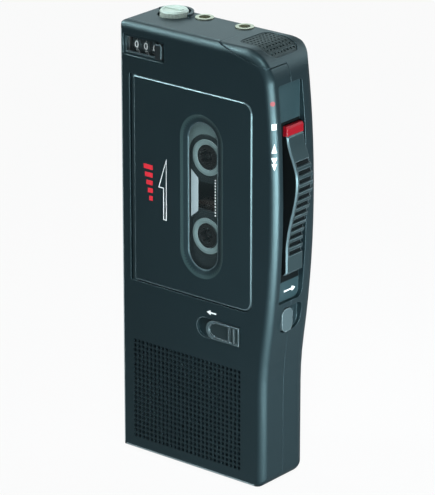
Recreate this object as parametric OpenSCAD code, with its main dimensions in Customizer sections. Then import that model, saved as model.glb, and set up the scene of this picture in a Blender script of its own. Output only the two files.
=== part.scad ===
// Pocket microcassette recorder. +Z runs up its length, the front faces -Y,
// and the origin is the middle of the flat foot. Lengths are millimetres.

/* [Body] */
// Width of body at its foot
body_w = 56; // [55.5:0.5:60]
// Height of body
body_h = 140; // [139:1:146]
// Depth of body, front to back
body_d = 22; // [21.8:0.2:25]
// Thickness of moulded walls
wall = 1.6; // [1.4:0.1:1.7]
// Radius of front left edge
front_left_r = 0.8; // [0.4:0.1:1.4]
// Radius of front right edge
front_right_r = 2.6; // [1.5:0.1:3.5]
// Radius of rear edges
rear_r = 5; // [3:0.5:6]
// Radius of top front edge
top_edge_r = 1.6; // [0.8:0.1:2.4]
// Radius of top rear edge
top_rear_r = 2; // [1:0.1:3]
// Radius of bottom front edge
foot_edge_r = 1; // [0.5:0.1:2]
// Radius of bottom rear corner
foot_rear_r = 6; // [4:0.5:6.5]
// Radius of bottom right corner
foot_side_r = 2; // [1:0.1:3]
// Depth of front shell at the side seam
split_depth = 10; // [9:0.2:10.6]
// Distance of top seam behind the front
top_seam = 2.8; // [2:0.1:4]
// Width of seam between the shells
seam_gap = 0.2; // [0.1:0.05:0.3]

/* [Side bulge] */
// How far right side swells out
bulge = 4.4; // [3:0.1:5]
// Height of widest point
bulge_z = 92; // [88:1:94]
// Radius of the swell
bulge_r = 330; // [300:5:360]
// Radius of hollow below the swell
bulge_blend_r = 109; // [90:1:125]

/* [Microphone corner] */
// Radius of microphone corner
mic_corner_r = 11; // [9:0.5:12]
// Start of corner moulding, from right
mic_start = 18.5; // [16:0.5:20]
// Drop of corner moulding's seam
mic_seam_drop = 4.8; // [4:0.1:6]
// Width of microphone grille
mic_grille_w = 13; // [10:0.5:14]
// Depth of microphone grille
mic_grille_d = 13.6; // [10:0.2:14]
// Corner radius of the microphone grille
mic_grille_r = 2.6; // [1.5:0.1:4]
// Left end of grille, from the middle of the corner's arc
mic_grille_left = 5.6; // [5:0.1:6]
// Front end of grille, from the front
mic_grille_front = 5; // [4.6:0.1:6]
// Thickness of microphone grille
mic_grille_t = 0.9; // [0.6:0.1:1]
// Spacing of grille holes
mic_hole_pitch = 1.5; // [1.3:0.1:2]
// Radius of grille holes
mic_hole_r = 0.42; // [0.3:0.02:0.5]
// Radius of microphone capsule
mic_capsule_r = 3.2; // [2.5:0.1:3.4]
// Height of microphone capsule
mic_capsule_h = 4.6; // [3.5:0.1:5]

/* [Door] */
// Gap left of the door
door_left = 3.8; // [3.4:0.1:4.4]
// Width of door
door_w = 47.6; // [46.8:0.2:48.2]
// Height of door's lower edge
door_z = 57.1; // [57.1:0.1:58]
// Height of door
door_h = 66.7; // [65.6:0.1:67]
// Thickness of door
door_t = 1.5; // [1.3:0.1:1.6]
// Radius of door's free corners
door_corner_r = 3.5; // [2:0.1:4.5]
// Width of bevel round the door
door_bevel = 0.5; // [0.3:0.1:0.7]
// Radius of hinge barrel
hinge_barrel_r = 1.1; // [1:0.05:1.2]
// Radius of hinge pin
hinge_pin_r = 0.5; // [0.4:0.05:0.6]
// Depth of hinge pin in the shell
hinge_pin_seat = 1.2; // [0.8:0.1:1.6]
// Length of catch inside the door
door_catch_l = 1.6; // [1:0.1:2]

/* [Door window] */
// Middle of window, from left
window_x = 31.8; // [31:0.1:32.6]
// Width of window's bevelled rim
window_rim_w = 16.7; // [15:0.1:18]
// Height of window's bevelled rim
window_rim_h = 52.5; // [48:0.1:54]
// Width of slope between rim and glass
window_slope = 2.7; // [2:0.1:3.2]
// Depth of slope
window_slope_d = 1; // [0.7:0.1:1]
// Lip of the lens behind the rim
window_lip = 0.7; // [0.5:0.1:1]

/* [Counter] */
// Height of counter's middle below the top
counter_drop = 7.1; // [6.9:0.1:7.4]
// Counter window, from left
counter_left = 2; // [1.8:0.1:2.4]
// Width of counter window
counter_win_w = 11.6; // [11:0.1:11.8]
// Height of counter window
counter_win_h = 5; // [4:0.1:5.6]
// Thickness of counter window
counter_win_t = 0.8; // [0.6:0.1:1]
// Border of sunk counter frame
counter_border = 0.9; // [0.6:0.1:1.2]
// Depth of sunk frame
counter_sink = 0.4; // [0.2:0.1:0.6]
// Radius of digit wheel
digit_r = 4.2; // [3.8:0.1:4.4]
// Width of digit wheel
digit_w = 3.3; // [3:0.1:3.35]
// Spacing of digit wheels
digit_pitch = 3.65; // [3.6:0.05:3.8]
// Middle of first digit wheel, from left
digit_start = 5; // [4.9:0.1:5.2]
// Radius of counter shaft
counter_shaft_r = 0.6; // [0.4:0.05:0.8]
// Thickness of counter frame
counter_frame_t = 0.7; // [0.5:0.05:0.8]
// Width of reset button
reset_w = 2.6; // [2:0.1:2.8]
// Height of reset button
reset_h = 4.8; // [4:0.1:5.2]
// Gap between counter window and reset button
reset_gap = 0.5; // [0.4:0.1:0.8]
// How far reset button stands out
reset_proud = 0.5; // [0.3:0.1:0.8]
// Travel of reset button
reset_travel = 1; // [0.6:0.1:1.2]

/* [Eject] */
// Left end of the eject slot, from left
eject_left = 30; // [28:0.2:30.6]
// Width of eject slot
eject_slot_w = 17; // [16:0.2:18]
// Height of eject slot
eject_slot_h = 6.4; // [5.6:0.1:7]
// Height of eject slot's middle
eject_z = 48.2; // [47:0.1:49]
// Depth of eject slot
eject_sink = 0.9; // [0.6:0.1:1]
// Travel of eject knob
eject_travel = 3.8; // [3:0.1:4]
// How far eject knob stands out
eject_proud = 0.5; // [0.3:0.1:0.8]
// Length of knob's neck
eject_neck_l = 4; // [3:0.1:4.5]
// Height of knob's neck
eject_neck_h = 2.4; // [2:0.1:3]
// Thickness of latch bar
eject_bar_t = 1.4; // [1:0.1:1.6]
// Height of latch bar
eject_bar_h = 4.4; // [4:0.1:5]
// Width of latch arm behind the door
eject_arm_w = 3; // [2:0.1:3.4]
// Reach of latch arm above the door's lower edge
eject_arm_reach = 2.4; // [1.5:0.1:3]

/* [Control slider] */
// Height of track's lower end
track_z = 60.5; // [60:0.5:62]
// Length of track
track_l = 68.9; // [68:0.1:69.5]
// Distance of track behind the front
track_front = 3.8; // [3.6:0.1:4.2]
// Width of track
track_w = 11.2; // [10.6:0.1:11.8]
// Depth of track floor below the side's widest point
track_sink = 2.8; // [2.6:0.1:3]
// Thickness of inlay plate
track_plate_t = 1.3; // [1:0.1:1.6]
// Corner radius of the inlay plate
track_corner_r = 2.4; // [1:0.1:3]
// Height of slider's lower end
slider_z = 69.2; // [68.5:0.1:70]
// Length of slider
slider_l = 47.2; // [46:0.1:48]
// Width of slider
slider_w = 8; // [7:0.1:8.2]
// Height of slider's ends over the track floor
slider_end_h = 1.7; // [1.4:0.1:2.2]
// Extra height of the slider's hump
slider_hump = 3.7; // [3:0.1:4.2]
// Height of hump's crest above the slider's lower end
slider_crest = 30.5; // [28:0.5:32]
// Length of hump above its crest
slider_rise = 14; // [12:0.5:15]
// Length of hump below its crest
slider_fall = 23; // [20:0.5:25]
// Length of red end cap
record_cap_l = 3; // [2:0.1:4]
// Count of grip ribs
slider_ribs = 13; // [9:1:14]
// Spacing of grip ribs
slider_rib_pitch = 2.3; // [2.1:0.1:2.4]
// Radius of grip rib
slider_rib_r = 0.6; // [0.4:0.05:0.7]
// Plain border beside the ribs
slider_border = 1.2; // [0.8:0.1:1.6]
// Travel of slider up, to record
slider_up = 7.5; // [6:0.5:7.5]
// Travel of slider down, to play and rewind
slider_down = 7.5; // [6:0.5:7.5]
// Width of slider's foot
slider_foot_w = 2.4; // [2:0.1:3]
// Length of slider's foot
slider_foot_l = 15.4; // [12:0.2:18]

/* [Lock] */
// Height of lock slot's middle
lock_z = 54.5; // [54:0.1:55]
// Height of lock slot
lock_slot_h = 8.4; // [8:0.1:9]
// Distance of lock slot behind the front
lock_front = 5.5; // [5:0.1:6]
// Length of lock slot
lock_slot_l = 10; // [9.6:0.1:10.4]
// Depth of lock slot floor below the side's widest point
lock_sink = 3.7; // [3.5:0.1:3.9]
// Width of lock knob
lock_knob_w = 5; // [4:0.1:5.4]
// Height of lock knob
lock_knob_h = 7.4; // [6.6:0.1:7.6]
// Thickness of lock knob
lock_knob_t = 1.9; // [1.6:0.1:2.2]
// Width of lock knob's neck
lock_neck_w = 1.8; // [1.4:0.1:2.2]
// Height of lock knob's neck
lock_neck_h = 3; // [2:0.1:3.4]
// Travel of lock knob
lock_travel = 4.2; // [3.6:0.1:4.3]

/* [Top controls] */
// Middle of volume dial, from left
volume_x = 8.7; // [8.5:0.1:9.2]
// Middle of volume dial, from the rear face
volume_back = 6.7; // [6.4:0.1:7]
// Radius of volume dial
volume_r = 4.5; // [4:0.1:4.7]
// How far volume dial stands out of the top
volume_proud = 2; // [1:0.1:2.6]
// Gap between dial and recess
volume_gap = 0.7; // [0.4:0.1:0.8]
// Width of raised collar behind the dial
volume_collar = 0.9; // [0.6:0.1:1.1]
// Height of raised collar
volume_collar_h = 1; // [0.6:0.1:1.4]
// Count of grooves in the dial's rim
volume_grooves = 30; // [20:1:36]
// Radius of volume control's shaft
volume_shaft_r = 1.2; // [0.8:0.1:1.6]
// Earphone jack's middle, from left
ear_jack_x = 18.4; // [18:0.1:19]
// Microphone jack's middle, from left
mic_jack_x = 34; // [33:0.1:34.4]
// Middle of jacks, from the rear face
jack_back = 3.9; // [3.8:0.1:4.4]
// Radius of jack bore
jack_bore_r = 1.8; // [1.75:0.05:1.85]
// Depth of jack bore
jack_bore_l = 11; // [9:0.5:12]
// Radius of jack barrel
jack_barrel_r = 2.2; // [2.15:0.05:2.3]
// Radius of jack's ring on the top
jack_ring_r = 2.9; // [2.6:0.1:3]
// How far ring stands out of the top
jack_ring_proud = 0.3; // [0.1:0.1:0.5]
// Thickness of small board under the top
top_board_t = 1; // [0.8:0.1:1.2]
// Height of that board below the top
top_board_drop = 13.4; // [13:0.1:13.6]
// Radius of volume control's body
pot_r = 3.8; // [3.4:0.1:3.9]

/* [Speaker] */
// Middle of speaker, from left
speaker_x = 25.8; // [25:0.1:26.6]
// Height of speaker's middle
speaker_z = 20.7; // [20:0.1:21.4]
// Radius of speaker
speaker_r = 15; // [13:0.5:15]
// Width of speaker's rim
speaker_rim = 1.6; // [1:0.1:2]
// Depth of speaker
speaker_d = 3.3; // [3:0.1:3.3]
// Columns of grille holes
grille_cols = 27; // [21:1:27]
// Rows of grille holes
grille_rows = 21; // [15:1:21]
// Spacing of grille holes
grille_pitch = 1.6; // [1.5:0.05:1.65]
// Radius of grille hole
grille_hole_r = 0.48; // [0.35:0.01:0.55]

/* [Battery bay] */
// Radius of cell
cell_r = 7.1; // [6.9:0.05:7.15]
// Length of cell without its nub
cell_l = 49; // [48:0.1:49.2]
// Radius of cell's nub
cell_nub_r = 2.6; // [2:0.1:2.75]
// Length of cell's nub
cell_nub_l = 1.2; // [1:0.1:1.4]
// Gap between cells
cell_gap = 0.6; // [0.3:0.1:1]
// Wall of battery bay
bay_wall = 0.8; // [0.6:0.1:0.9]
// Thickness of contact plates
contact_t = 0.4; // [0.3:0.05:0.5]
// Room for a contact at each end of the cells
contact_room = 1.4; // [1.2:0.1:1.5]
// Width of battery lid
lid_w = 35; // [34:0.2:37]
// Height of battery lid's upper end
lid_top = 57.5; // [57:0.1:58.5]
// Height of battery lid's lower end
lid_foot = 2.4; // [2.2:0.1:3]
// Travel of battery lid
lid_travel = 8; // [6:0.5:9]
// Width of lid's side tongues
lid_tongue_w = 0.8; // [0.6:0.1:1]
// Thickness of lid's side tongues
lid_tongue_t = 0.5; // [0.4:0.05:0.6]
// Length of lid's side tongues
lid_tongue_l = 20; // [16:1:22]

/* [Cassette] */
// Length of cassette
cas_l = 50.2; // [50:0.1:50.4]
// Width of cassette
cas_w = 33.5; // [33.3:0.1:33.7]
// Thickness of cassette
cas_t = 8.1; // [8:0.05:8.2]
// Wall of cassette
cas_wall = 1; // [0.8:0.05:1.1]
// Distance of two hubs
hub_pitch = 25.2; // [25:0.1:25.4]
// Distance of hubs from the cassette's plain edge
hub_edge = 13.5; // [13.2:0.1:13.8]
// Radius of hub where it shows
hub_collar_r = 4; // [3.8:0.05:4.1]
// Radius of hub's drum
hub_drum_r = 5.6; // [5.2:0.1:5.8]
// Radius of hub's hole
hub_hole_r = 2.5; // [2.4:0.05:2.6]
// Length of hub's teeth
hub_tooth = 0.55; // [0.4:0.05:0.55]
// Tape pack radius on the take-up hub
takeup_pack_r = 7.4; // [6.5:0.1:9]
// Tape pack radius on the supply hub
supply_pack_r = 10.6; // [9:0.1:11]
// Width of tape
tape_w = 3.8; // [3.7:0.05:3.85]
// Thickness that the tape is drawn with
tape_t = 0.2; // [0.15:0.01:0.22]
// Distance of tape run inside the cassette's edge
tape_inset = 1.2; // [1.1:0.05:1.4]
// Radius of guide rollers
guide_r = 2; // [1.8:0.05:2.1]
// Distance of guide rollers from the cassette's middle
guide_z = 21; // [20.5:0.1:21.5]
// Radius of guide rollers' pins
guide_pin_r = 0.6; // [0.4:0.05:0.8]
// Height of cassette's own window
cas_window_h = 9; // [8:0.1:10]
// Width of cassette's own window
cas_window_w = 7.6; // [6:0.1:8]

/* [Deck] */
// Thickness of deck plate
deck_t = 1; // [0.8:0.05:1.1]
// Distance of deck's left edge from the body's left side
deck_left = 4; // [3.6:0.1:4.4]
// Width of deck plate
deck_w = 45; // [44.4:0.2:45.6]
// Height of deck plate's lower edge
deck_z = 58.5; // [58:0.1:59]
// Height of deck plate
deck_h = 55; // [54:0.1:55.4]
// Radius of deck posts
post_r = 1.6; // [1.4:0.1:1.8]
// Distance of posts from the deck's edges
post_inset = 2.4; // [2.2:0.1:2.6]

/* [Drive] */
// Module of gears
gear_m = 0.5; // [0.5:0.01:0.51]
// Teeth of capstan pinion
pinion_n = 16; // [16:1:17]
// Teeth of idler gear
idler_n = 20; // [19:1:21]
// Teeth of reel gears
reel_n = 26; // [25:1:26]
// Thickness of gears
gear_t = 1.4; // [1.2:0.1:1.5]
// Gap between deck and gears
gear_gap = 0.3; // [0.2:0.05:0.4]
// Slack between gear teeth
gear_slack = 0.12; // [0.1:0.01:0.16]
// Height of capstan over the cassette's middle
capstan_up = 9.5; // [9:0.1:10]
// Radius of capstan
capstan_r = 0.75; // [0.7:0.01:0.8]
// Radius of capstan bearing
bearing_r = 2.2; // [1.8:0.1:2.4]
// Radius of flywheel
flywheel_r = 11; // [10:0.1:11.2]
// Thickness of flywheel
flywheel_t = 2.4; // [2:0.1:2.5]
// Gap between flywheel and rear wall
flywheel_gap = 0.4; // [0.3:0.05:0.5]
// Radius of flywheel's hub
flywheel_hub_r = 2; // [1.6:0.1:2.4]
// Depth of belt groove
belt_groove = 0.9; // [0.8:0.05:1]
// Thickness of belt
belt_t = 0.6; // [0.5:0.05:0.6]
// Width of belt
belt_w = 1; // [0.8:0.05:1.1]
// Middle of motor, from left
motor_x = 12.5; // [12.2:0.1:13]
// Height of motor's middle
motor_z = 70.5; // [70:0.1:71]
// Radius of motor
motor_r = 9; // [8:0.1:9.2]
// Thickness of motor
motor_t = 5.6; // [5:0.1:5.7]
// Radius of motor shaft
motor_shaft_r = 0.55; // [0.5:0.01:0.6]
// Radius of pulley's flanges
pulley_r = 2.6; // [2.2:0.1:2.8]
// Radius of spindle shafts
spindle_r = 1.5; // [1.4:0.05:1.55]
// Height of spindle's fins
spindle_fin = 0.35; // [0.25:0.05:0.35]
// Reach of spindles into the hubs
spindle_reach = 6; // [5:0.1:6.4]

/* [Head plate] */
// Travel of head plate
head_travel = 1.6; // [1.4:0.05:1.65]
// Thickness of head plate
head_plate_t = 0.7; // [0.5:0.05:0.7]
// Width of head plate
head_plate_w = 7.6; // [7.2:0.1:7.8]
// Height of head plate's lower end below the cassette's middle
head_plate_down = 11; // [10.5:0.1:11.5]
// Height of head plate's upper end over the cassette's middle
head_plate_up = 14; // [13.5:0.1:14.5]
// Radius of head plate's guide pins
head_pin_r = 0.6; // [0.5:0.05:0.7]
// Height of play head
head_h = 6.8; // [6:0.1:7]
// Length of play head
head_l = 4; // [3.4:0.1:4.4]
// Height of erase head
erase_h = 3; // [2.6:0.1:3.2]
// Distance of erase head below the play head
erase_down = 7.6; // [7.2:0.1:8]
// Radius of pinch roller
pinch_r = 2.4; // [2.2:0.05:2.5]
// Radius of pinch roller's pin
pinch_pin_r = 0.6; // [0.5:0.05:0.7]
// Thickness of pinch arm
pinch_arm_t = 0.6; // [0.5:0.05:0.7]

/* [Boards] */
// Left edge of the circuit board, from left
board_left = 27.5; // [27:0.1:28.5]
// Width of circuit board
board_w = 17; // [16:0.1:17.2]
// Height of circuit board's lower edge
board_z = 60; // [59:0.5:62]
// Height of circuit board
board_h = 60; // [56:0.5:62]
// Thickness of circuit board
board_t = 1; // [0.8:0.05:1.2]
// Gap between board and rear wall
board_gap = 0.8; // [0.6:0.1:1]

/* [Fasteners] */
// Radius of screw boss
boss_r = 1.9; // [1.7:0.1:2]
// Radius of screw shank
screw_r = 0.8; // [0.7:0.05:0.9]
// Radius of screw head
screw_head_r = 1.5; // [1.3:0.05:1.6]
// Height of screw head
screw_head_h = 0.8; // [0.6:0.05:0.9]
// Length of screw below its head
screw_l = 15; // [12:0.5:16]
// Distance of lower screws from the sides
screw_low_side = 6.6; // [6.2:0.1:7]
// Height of lower screws
screw_low_z = 8.4; // [8:0.1:9]
// Distance of upper screws from the sides
screw_up_side = 8; // [7.6:0.1:8.4]
// Height of upper screws
screw_up_z = 119.6; // [119:0.1:120]

/* [Clearances] */
// Gap round fixed inserts
insert_gap = 0.1; // [0.05:0.01:0.15]
// Gap round sliding pieces
slide_gap = 0.2; // [0.12:0.02:0.25]
// Gap between shaft and its bore
shaft_gap = 0.05; // [0.03:0.01:0.08]
// Gap round door
door_gap = 0.2; // [0.15:0.05:0.3]
// Gap between neighbouring inner pieces
inner_gap = 0.3; // [0.25:0.05:0.35]

/* [Hidden] */
$fn = 64;
// Segments of small grille holes
hole_fn = 16;
// Segments of a full turn of the wide side sweeps
sweep_fn = 900;
// Overlap that lets cuts pass cleanly through a face
eps = 0.05;
// A length longer than the whole object
far = 300;

left_x = -body_w / 2;
right_x = body_w / 2;
front_y = -body_d / 2;
rear_y = body_d / 2;
in_left = left_x + wall;
in_right = right_x - wall;
in_front = front_y + wall;
in_rear = rear_y - wall;
in_top = body_h - wall;
split_y = front_y + split_depth;

// The side's outline: straight, hollow, swell
bulge_turn = acos(1 - bulge / (bulge_r + bulge_blend_r));
blend_z = bulge_z - (bulge_r + bulge_blend_r) * sin(bulge_turn);
function side_up(z) = right_x + bulge - bulge_r + sqrt(pow(bulge_r, 2) - pow(z - bulge_z, 2));
rail_w = body_w + 2 * bulge;
rail_over = 3;
rail_lap = 6;
hollow_steps = 3;

mic_x = right_x - mic_start;
mic_arc_z = body_h - mic_corner_r;
mic_arc_x = side_up(mic_arc_z) - mic_corner_r;
mic_grille_sink = 0.15;
mic_grille_x = mic_arc_x - mic_grille_left;
mic_grille_y = front_y + mic_grille_front;
mic_shelf_t = 0.9;
mic_capsule_x = mic_arc_x + 0.6;
mic_capsule_y = mic_grille_y + mic_grille_d / 2;
mic_capsule_z = body_h - wall - 1.6 - mic_capsule_h;

door_x = left_x + door_left;
door_x1 = door_x + door_w;
door_z1 = door_z + door_h;
door_in = front_y + door_t;
hinge_x = door_x + hinge_barrel_r;
hinge_y = front_y + hinge_barrel_r;

window_cx = left_x + window_x;
window_cz = door_z + door_h / 2 - 0.4;
window_glass_r = window_rim_w / 2 - window_slope;
window_lens_t = door_t - window_slope_d;
window_half = window_rim_h / 2 - window_rim_w / 2;

counter_z = body_h - counter_drop;
counter_x = left_x + counter_left;
counter_y = in_front + inner_gap + digit_r;
digit_x = left_x + digit_start;
reset_x = counter_x + counter_win_w + reset_gap;
counter_frame_x = counter_x + counter_win_w + counter_frame_t;
reset_back = in_front + 0.7;
counter_plate_y = reset_back + reset_travel + inner_gap;

eject_x = left_x + eject_left;
eject_floor = front_y + eject_sink;
eject_knob_x = eject_x + eject_travel + slide_gap;
eject_knob_x1 = eject_x + eject_slot_w - slide_gap;
eject_neck_x = (eject_knob_x + eject_knob_x1) / 2;
eject_bar_y = in_front + slide_gap;
eject_bar_x = eject_knob_x + 1;
eject_bar_x1 = eject_knob_x1 - 0.4;
eject_arm_x = eject_bar_x1 - eject_arm_w;

track_floor = right_x + bulge - track_sink;
track_y = front_y + track_front;
track_y1 = track_y + track_w;
slider_base = track_floor + slide_gap;
slider_y1 = track_y1 - inner_gap;
slider_y = slider_y1 - slider_w;
slider_top = slider_z + slider_l;
slider_mid_y = (slider_y + slider_y1) / 2;
slider_foot_z = slider_z + slider_crest - slider_foot_l / 2;

lock_floor = right_x + bulge - lock_sink;
lock_y = front_y + lock_front;
lock_knob_y = lock_y + slide_gap;

volume_cx = left_x + volume_x;
volume_cy = rear_y - volume_back;
volume_hole_r = volume_r + volume_gap;
jack_y = rear_y - jack_back;
top_board_z = body_h - top_board_drop;
top_board_y = split_y + 1.4;
top_board_x1 = left_x + mic_jack_x + jack_ring_r + 1;
pot_top = in_top - 0.6;

speaker_cx = left_x + speaker_x;

cell_y = in_rear - slide_gap - cell_r;
bay_half = cell_r * 2 + cell_gap / 2 + slide_gap;
bay_floor = cell_y - cell_r - slide_gap - bay_wall;
cell_z = wall + contact_room;
bay_top = cell_z + cell_l + cell_nub_l + contact_room;
cell_x = cell_r + cell_gap / 2;

hub_x = window_cx;
cas_x1 = hub_x + hub_edge;
cas_x = cas_x1 - cas_w;
cas_y = door_in + 0.6;
cas_y1 = cas_y + cas_t;
cas_mid_y = (cas_y + cas_y1) / 2;
cas_cz = window_cz - 0.2;
cas_z = cas_cz - cas_l / 2;
takeup_z = cas_cz + hub_pitch / 2;
supply_z = cas_cz - hub_pitch / 2;
tape_x = cas_x + tape_inset;
guide_x = tape_x + tape_t / 2 + shaft_gap + guide_r;

deck_y = cas_y1 + 0.4;
deck_back = deck_y + deck_t;
deck_x = left_x + deck_left;
deck_x1 = deck_x + deck_w;
deck_z1 = deck_z + deck_h;
posts = [
  [deck_x + post_inset, deck_z1 - 2],
  [deck_x + post_inset, deck_z + 2],
  [deck_x1 - post_inset, deck_z1 - 2],
  [deck_x1 - post_inset, deck_z + 2]
];

gear_y = deck_back + gear_gap;
capstan_x = tape_x + tape_t / 2 + shaft_gap + capstan_r;
capstan_z = cas_cz + capstan_up;
fly_y1 = in_rear - flywheel_gap;
fly_y = fly_y1 - flywheel_t;
belt_y = fly_y + flywheel_t / 2;
pinion_r = gear_m * pinion_n / 2;
idler_r = gear_m * idler_n / 2;
reel_r = gear_m * reel_n / 2;
// Idler: its pitch circle touches the pinion's and the take-up gear's
train_d = norm([hub_x - capstan_x, takeup_z - capstan_z]);
train_turn = atan2(takeup_z - capstan_z, hub_x - capstan_x);
pinion_reach = pinion_r + idler_r;
takeup_reach = idler_r + reel_r;
idler_turn = train_turn
  + acos((pow(pinion_reach, 2) + pow(train_d, 2) - pow(takeup_reach, 2)) / (2 * pinion_reach * train_d));
idler_x = capstan_x + pinion_reach * cos(idler_turn);
idler_z = capstan_z + pinion_reach * sin(idler_turn);
takeup_turn = atan2(takeup_z - idler_z, hub_x - idler_x);
function mesh_angle(turn, n, way, m) = way + 180 - 180 / m + (way - turn) * n / m;
idler_phase = mesh_angle(idler_turn, pinion_n, idler_turn, idler_n);
takeup_phase = mesh_angle(idler_phase, idler_n, takeup_turn, reel_n);
idler_pin_r = 0.8;

motor_cx = left_x + motor_x;
pulley_groove_r = pulley_r - belt_groove;

head_plate_x1 = cas_x - 0.1 - head_travel;
head_plate_x = head_plate_x1 - head_plate_w;
head_plate_y1 = deck_y - slide_gap;
head_plate_y = head_plate_y1 - head_plate_t;
head_tip = tape_x - tape_t / 2 - 0.2 - head_travel;
pinch_x = tape_x - tape_t / 2 - shaft_gap - pinch_r - head_travel;
head_pins = [cas_cz - head_plate_down + 2.6, cas_cz + head_plate_up - 1.8];
head_pin_x = head_plate_x + 3.4;

board_x = left_x + board_left;
board_back = in_rear - board_gap;
board_y = board_back - board_t;
rib_t = 0.9;
door_rib_z = door_z - door_gap - rib_t;
door_rib_top = door_z1 + door_gap;

screws = [
  [left_x + screw_low_side, screw_low_z],
  [right_x - screw_low_side, screw_low_z],
  [left_x + screw_up_side, screw_up_z],
  [right_x - screw_up_side, screw_up_z]
];
screw_sink = 0.5;

shell_colour = "#34464a";
rear_colour = "#3d5258";
steel_colour = "#b9bec2";
cream_colour = "#d8d8cc";

// A drawing in x and z, drawn out along y
module along_y(y0, y1) {
  translate([0, y1, 0]) rotate([90, 0, 0]) linear_extrude(y1 - y0) children();
}

// A drawing in y and z, drawn out along x
module along_x(x0, x1) {
  translate([x0, 0, 0]) rotate([90, 0, 90]) linear_extrude(x1 - x0) children();
}

module rod_x(r, x0, x1, y, z) {
  along_x(x0, x1) translate([y, z]) circle(r);
}

module rod_y(r, y0, y1, x, z) {
  along_y(y0, y1) translate([x, z]) circle(r);
}

module rod_z(r, z0, z1, x, y) {
  translate([x, y, z0]) cylinder(r = r, h = z1 - z0);
}

module block(x0, x1, y0, y1, z0, z1) {
  translate([x0, y0, z0]) cube([x1 - x0, y1 - y0, z1 - z0]);
}

module rect(x0, x1, y0, y1) {
  translate([x0, y0]) square([x1 - x0, y1 - y0]);
}

// What a rounding takes off a corner; quarter 0 is lower left
module corner_off(x, y, r, quarter) {
  translate([x, y]) rotate(90 * quarter) difference() {
    translate([-eps, -eps]) square(r + eps);
    translate([r, r]) circle(r);
  }
}

// Rectangle with its own radius on each corner, from lower left
module round_rect(x0, x1, y0, y1, radii) {
  difference() {
    rect(x0, x1, y0, y1);
    if (radii[0] > 0) corner_off(x0, y0, radii[0], 0);
    if (radii[1] > 0) corner_off(x1, y0, radii[1], 1);
    if (radii[2] > 0) corner_off(x1, y1, radii[2], 2);
    if (radii[3] > 0) corner_off(x0, y1, radii[3], 3);
  }
}

// Points of a rounded corner, and of a rectangle with such corners
corner_steps = 8;
function polar(r, a) = [r * cos(a), r * sin(a)];
function arc_points(x, y, r, start, turn, n) =
  [for (k = [0 : r > 0 ? n : 0]) [x, y] + polar(r, start + turn * k / n)];
function soft_rect(x0, x1, y0, y1, radii) = concat(
  arc_points(x0 + radii[0], y0 + radii[0], radii[0], 180, 90, corner_steps),
  arc_points(x1 - radii[1], y0 + radii[1], radii[1], 270, 90, corner_steps),
  arc_points(x1 - radii[2], y1 - radii[2], radii[2], 0, 90, corner_steps),
  arc_points(x0 + radii[3], y1 - radii[3], radii[3], 90, 90, corner_steps)
);

// Upright slot with round ends
module slot_z(x, z, r, half) {
  rect(x - r, x + r, z - half, z + half);
  translate([x, z + half]) circle(r);
  translate([x, z - half]) circle(r);
}

// A turned shape about an axis along y, drawn as radius and y
module turned_y(x, z) {
  translate([x, 0, z]) rotate([-90, 0, 0]) rotate_extrude() children();
}

// An arc whose ends run on past the planes that it rounds off
function past(a, b) = a + 3 * (b - a);
function over_arc(x, y, r, start, ends = 3) = let(
  p = arc_points(x, y, r, start, 90, corner_steps), n = corner_steps
) concat(
  [ends == 2 ? p[0] : past(p[1], p[0])], [for (i = [1 : n - 1]) p[i]],
  [ends == 1 ? p[n] : past(p[n - 1], p[n])]
);

// Right side's section up to x = 0
function rail_section(low_r, high_r) = concat(
  [[-rail_w, front_y - rail_over]], over_arc(-low_r, front_y + low_r, low_r, 270, 1),
  over_arc(-high_r, rear_y - high_r, high_r, 0, 2), [[-rail_w, rear_y + rail_over]]
);

// One straight run of the right side, leaning outward
module rail_run(x, z, lean, from, to) {
  translate([x, 0, z]) rotate([0, lean, 0]) translate([0, 0, from]) linear_extrude(to - from)
    polygon(rail_section(front_right_r, rear_r));
}

// The swell, turned about an axis along y
module rail_swell(x, z, r, low, high) {
  translate([x, 0, z]) rotate([90, 0, 0]) rotate([0, 0, -low])
    rotate_extrude(angle = low + high, $fn = sweep_fn)
      translate([r, 0]) polygon(rail_section(rear_r, front_right_r));
}

// The outer form, solid: straight foot, hollow in short runs, swell
module body_solid() {
  reach = right_x + bulge + 1;
  step = bulge_turn / hollow_steps;
  run = 2 * bulge_blend_r * sin(step / 2);
  intersection() {
    union() {
      rail_run(right_x, 0, 0, -1, blend_z + rail_lap);
      for (k = [0 : hollow_steps - 1])
        rail_run(right_x + bulge_blend_r * (1 - cos(step * k)), blend_z + bulge_blend_r * sin(step * k),
          step * (k + 0.5), -rail_lap, run + rail_lap);
      rail_swell(right_x + bulge - bulge_r, bulge_z, bulge_r, bulge_turn + 1,
        asin((body_h + 2 - bulge_z) / (bulge_r - rail_w)));
    }
    translate([0, 0, -1]) linear_extrude(body_h + 2) polygon(concat(
      [[reach, rear_y + 1]], over_arc(left_x + rear_r, rear_y - rear_r, rear_r, 90, 1),
      over_arc(left_x + front_left_r, front_y + front_left_r, front_left_r, 180, 2), [[reach, front_y - 1]]
    ));
    along_x(left_x - 1, reach)
      polygon(soft_rect(front_y, rear_y, 0, body_h, [foot_edge_r, foot_rear_r, top_rear_r, top_edge_r]));
    along_y(front_y - 1, rear_y + 1) polygon(concat(
      over_arc(left_x + front_left_r, front_left_r, front_left_r, 180),
      over_arc(right_x - foot_side_r, foot_side_r, foot_side_r, 270),
      [[reach, foot_side_r + 1], [reach, mic_arc_z]],
      arc_points(mic_arc_x, mic_arc_z, mic_corner_r, 0, 87, 24), [[mic_arc_x - 3, body_h + 0.1]],
      over_arc(left_x + front_left_r, body_h - front_left_r, front_left_r, 90)
    ));
  }
}

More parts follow.
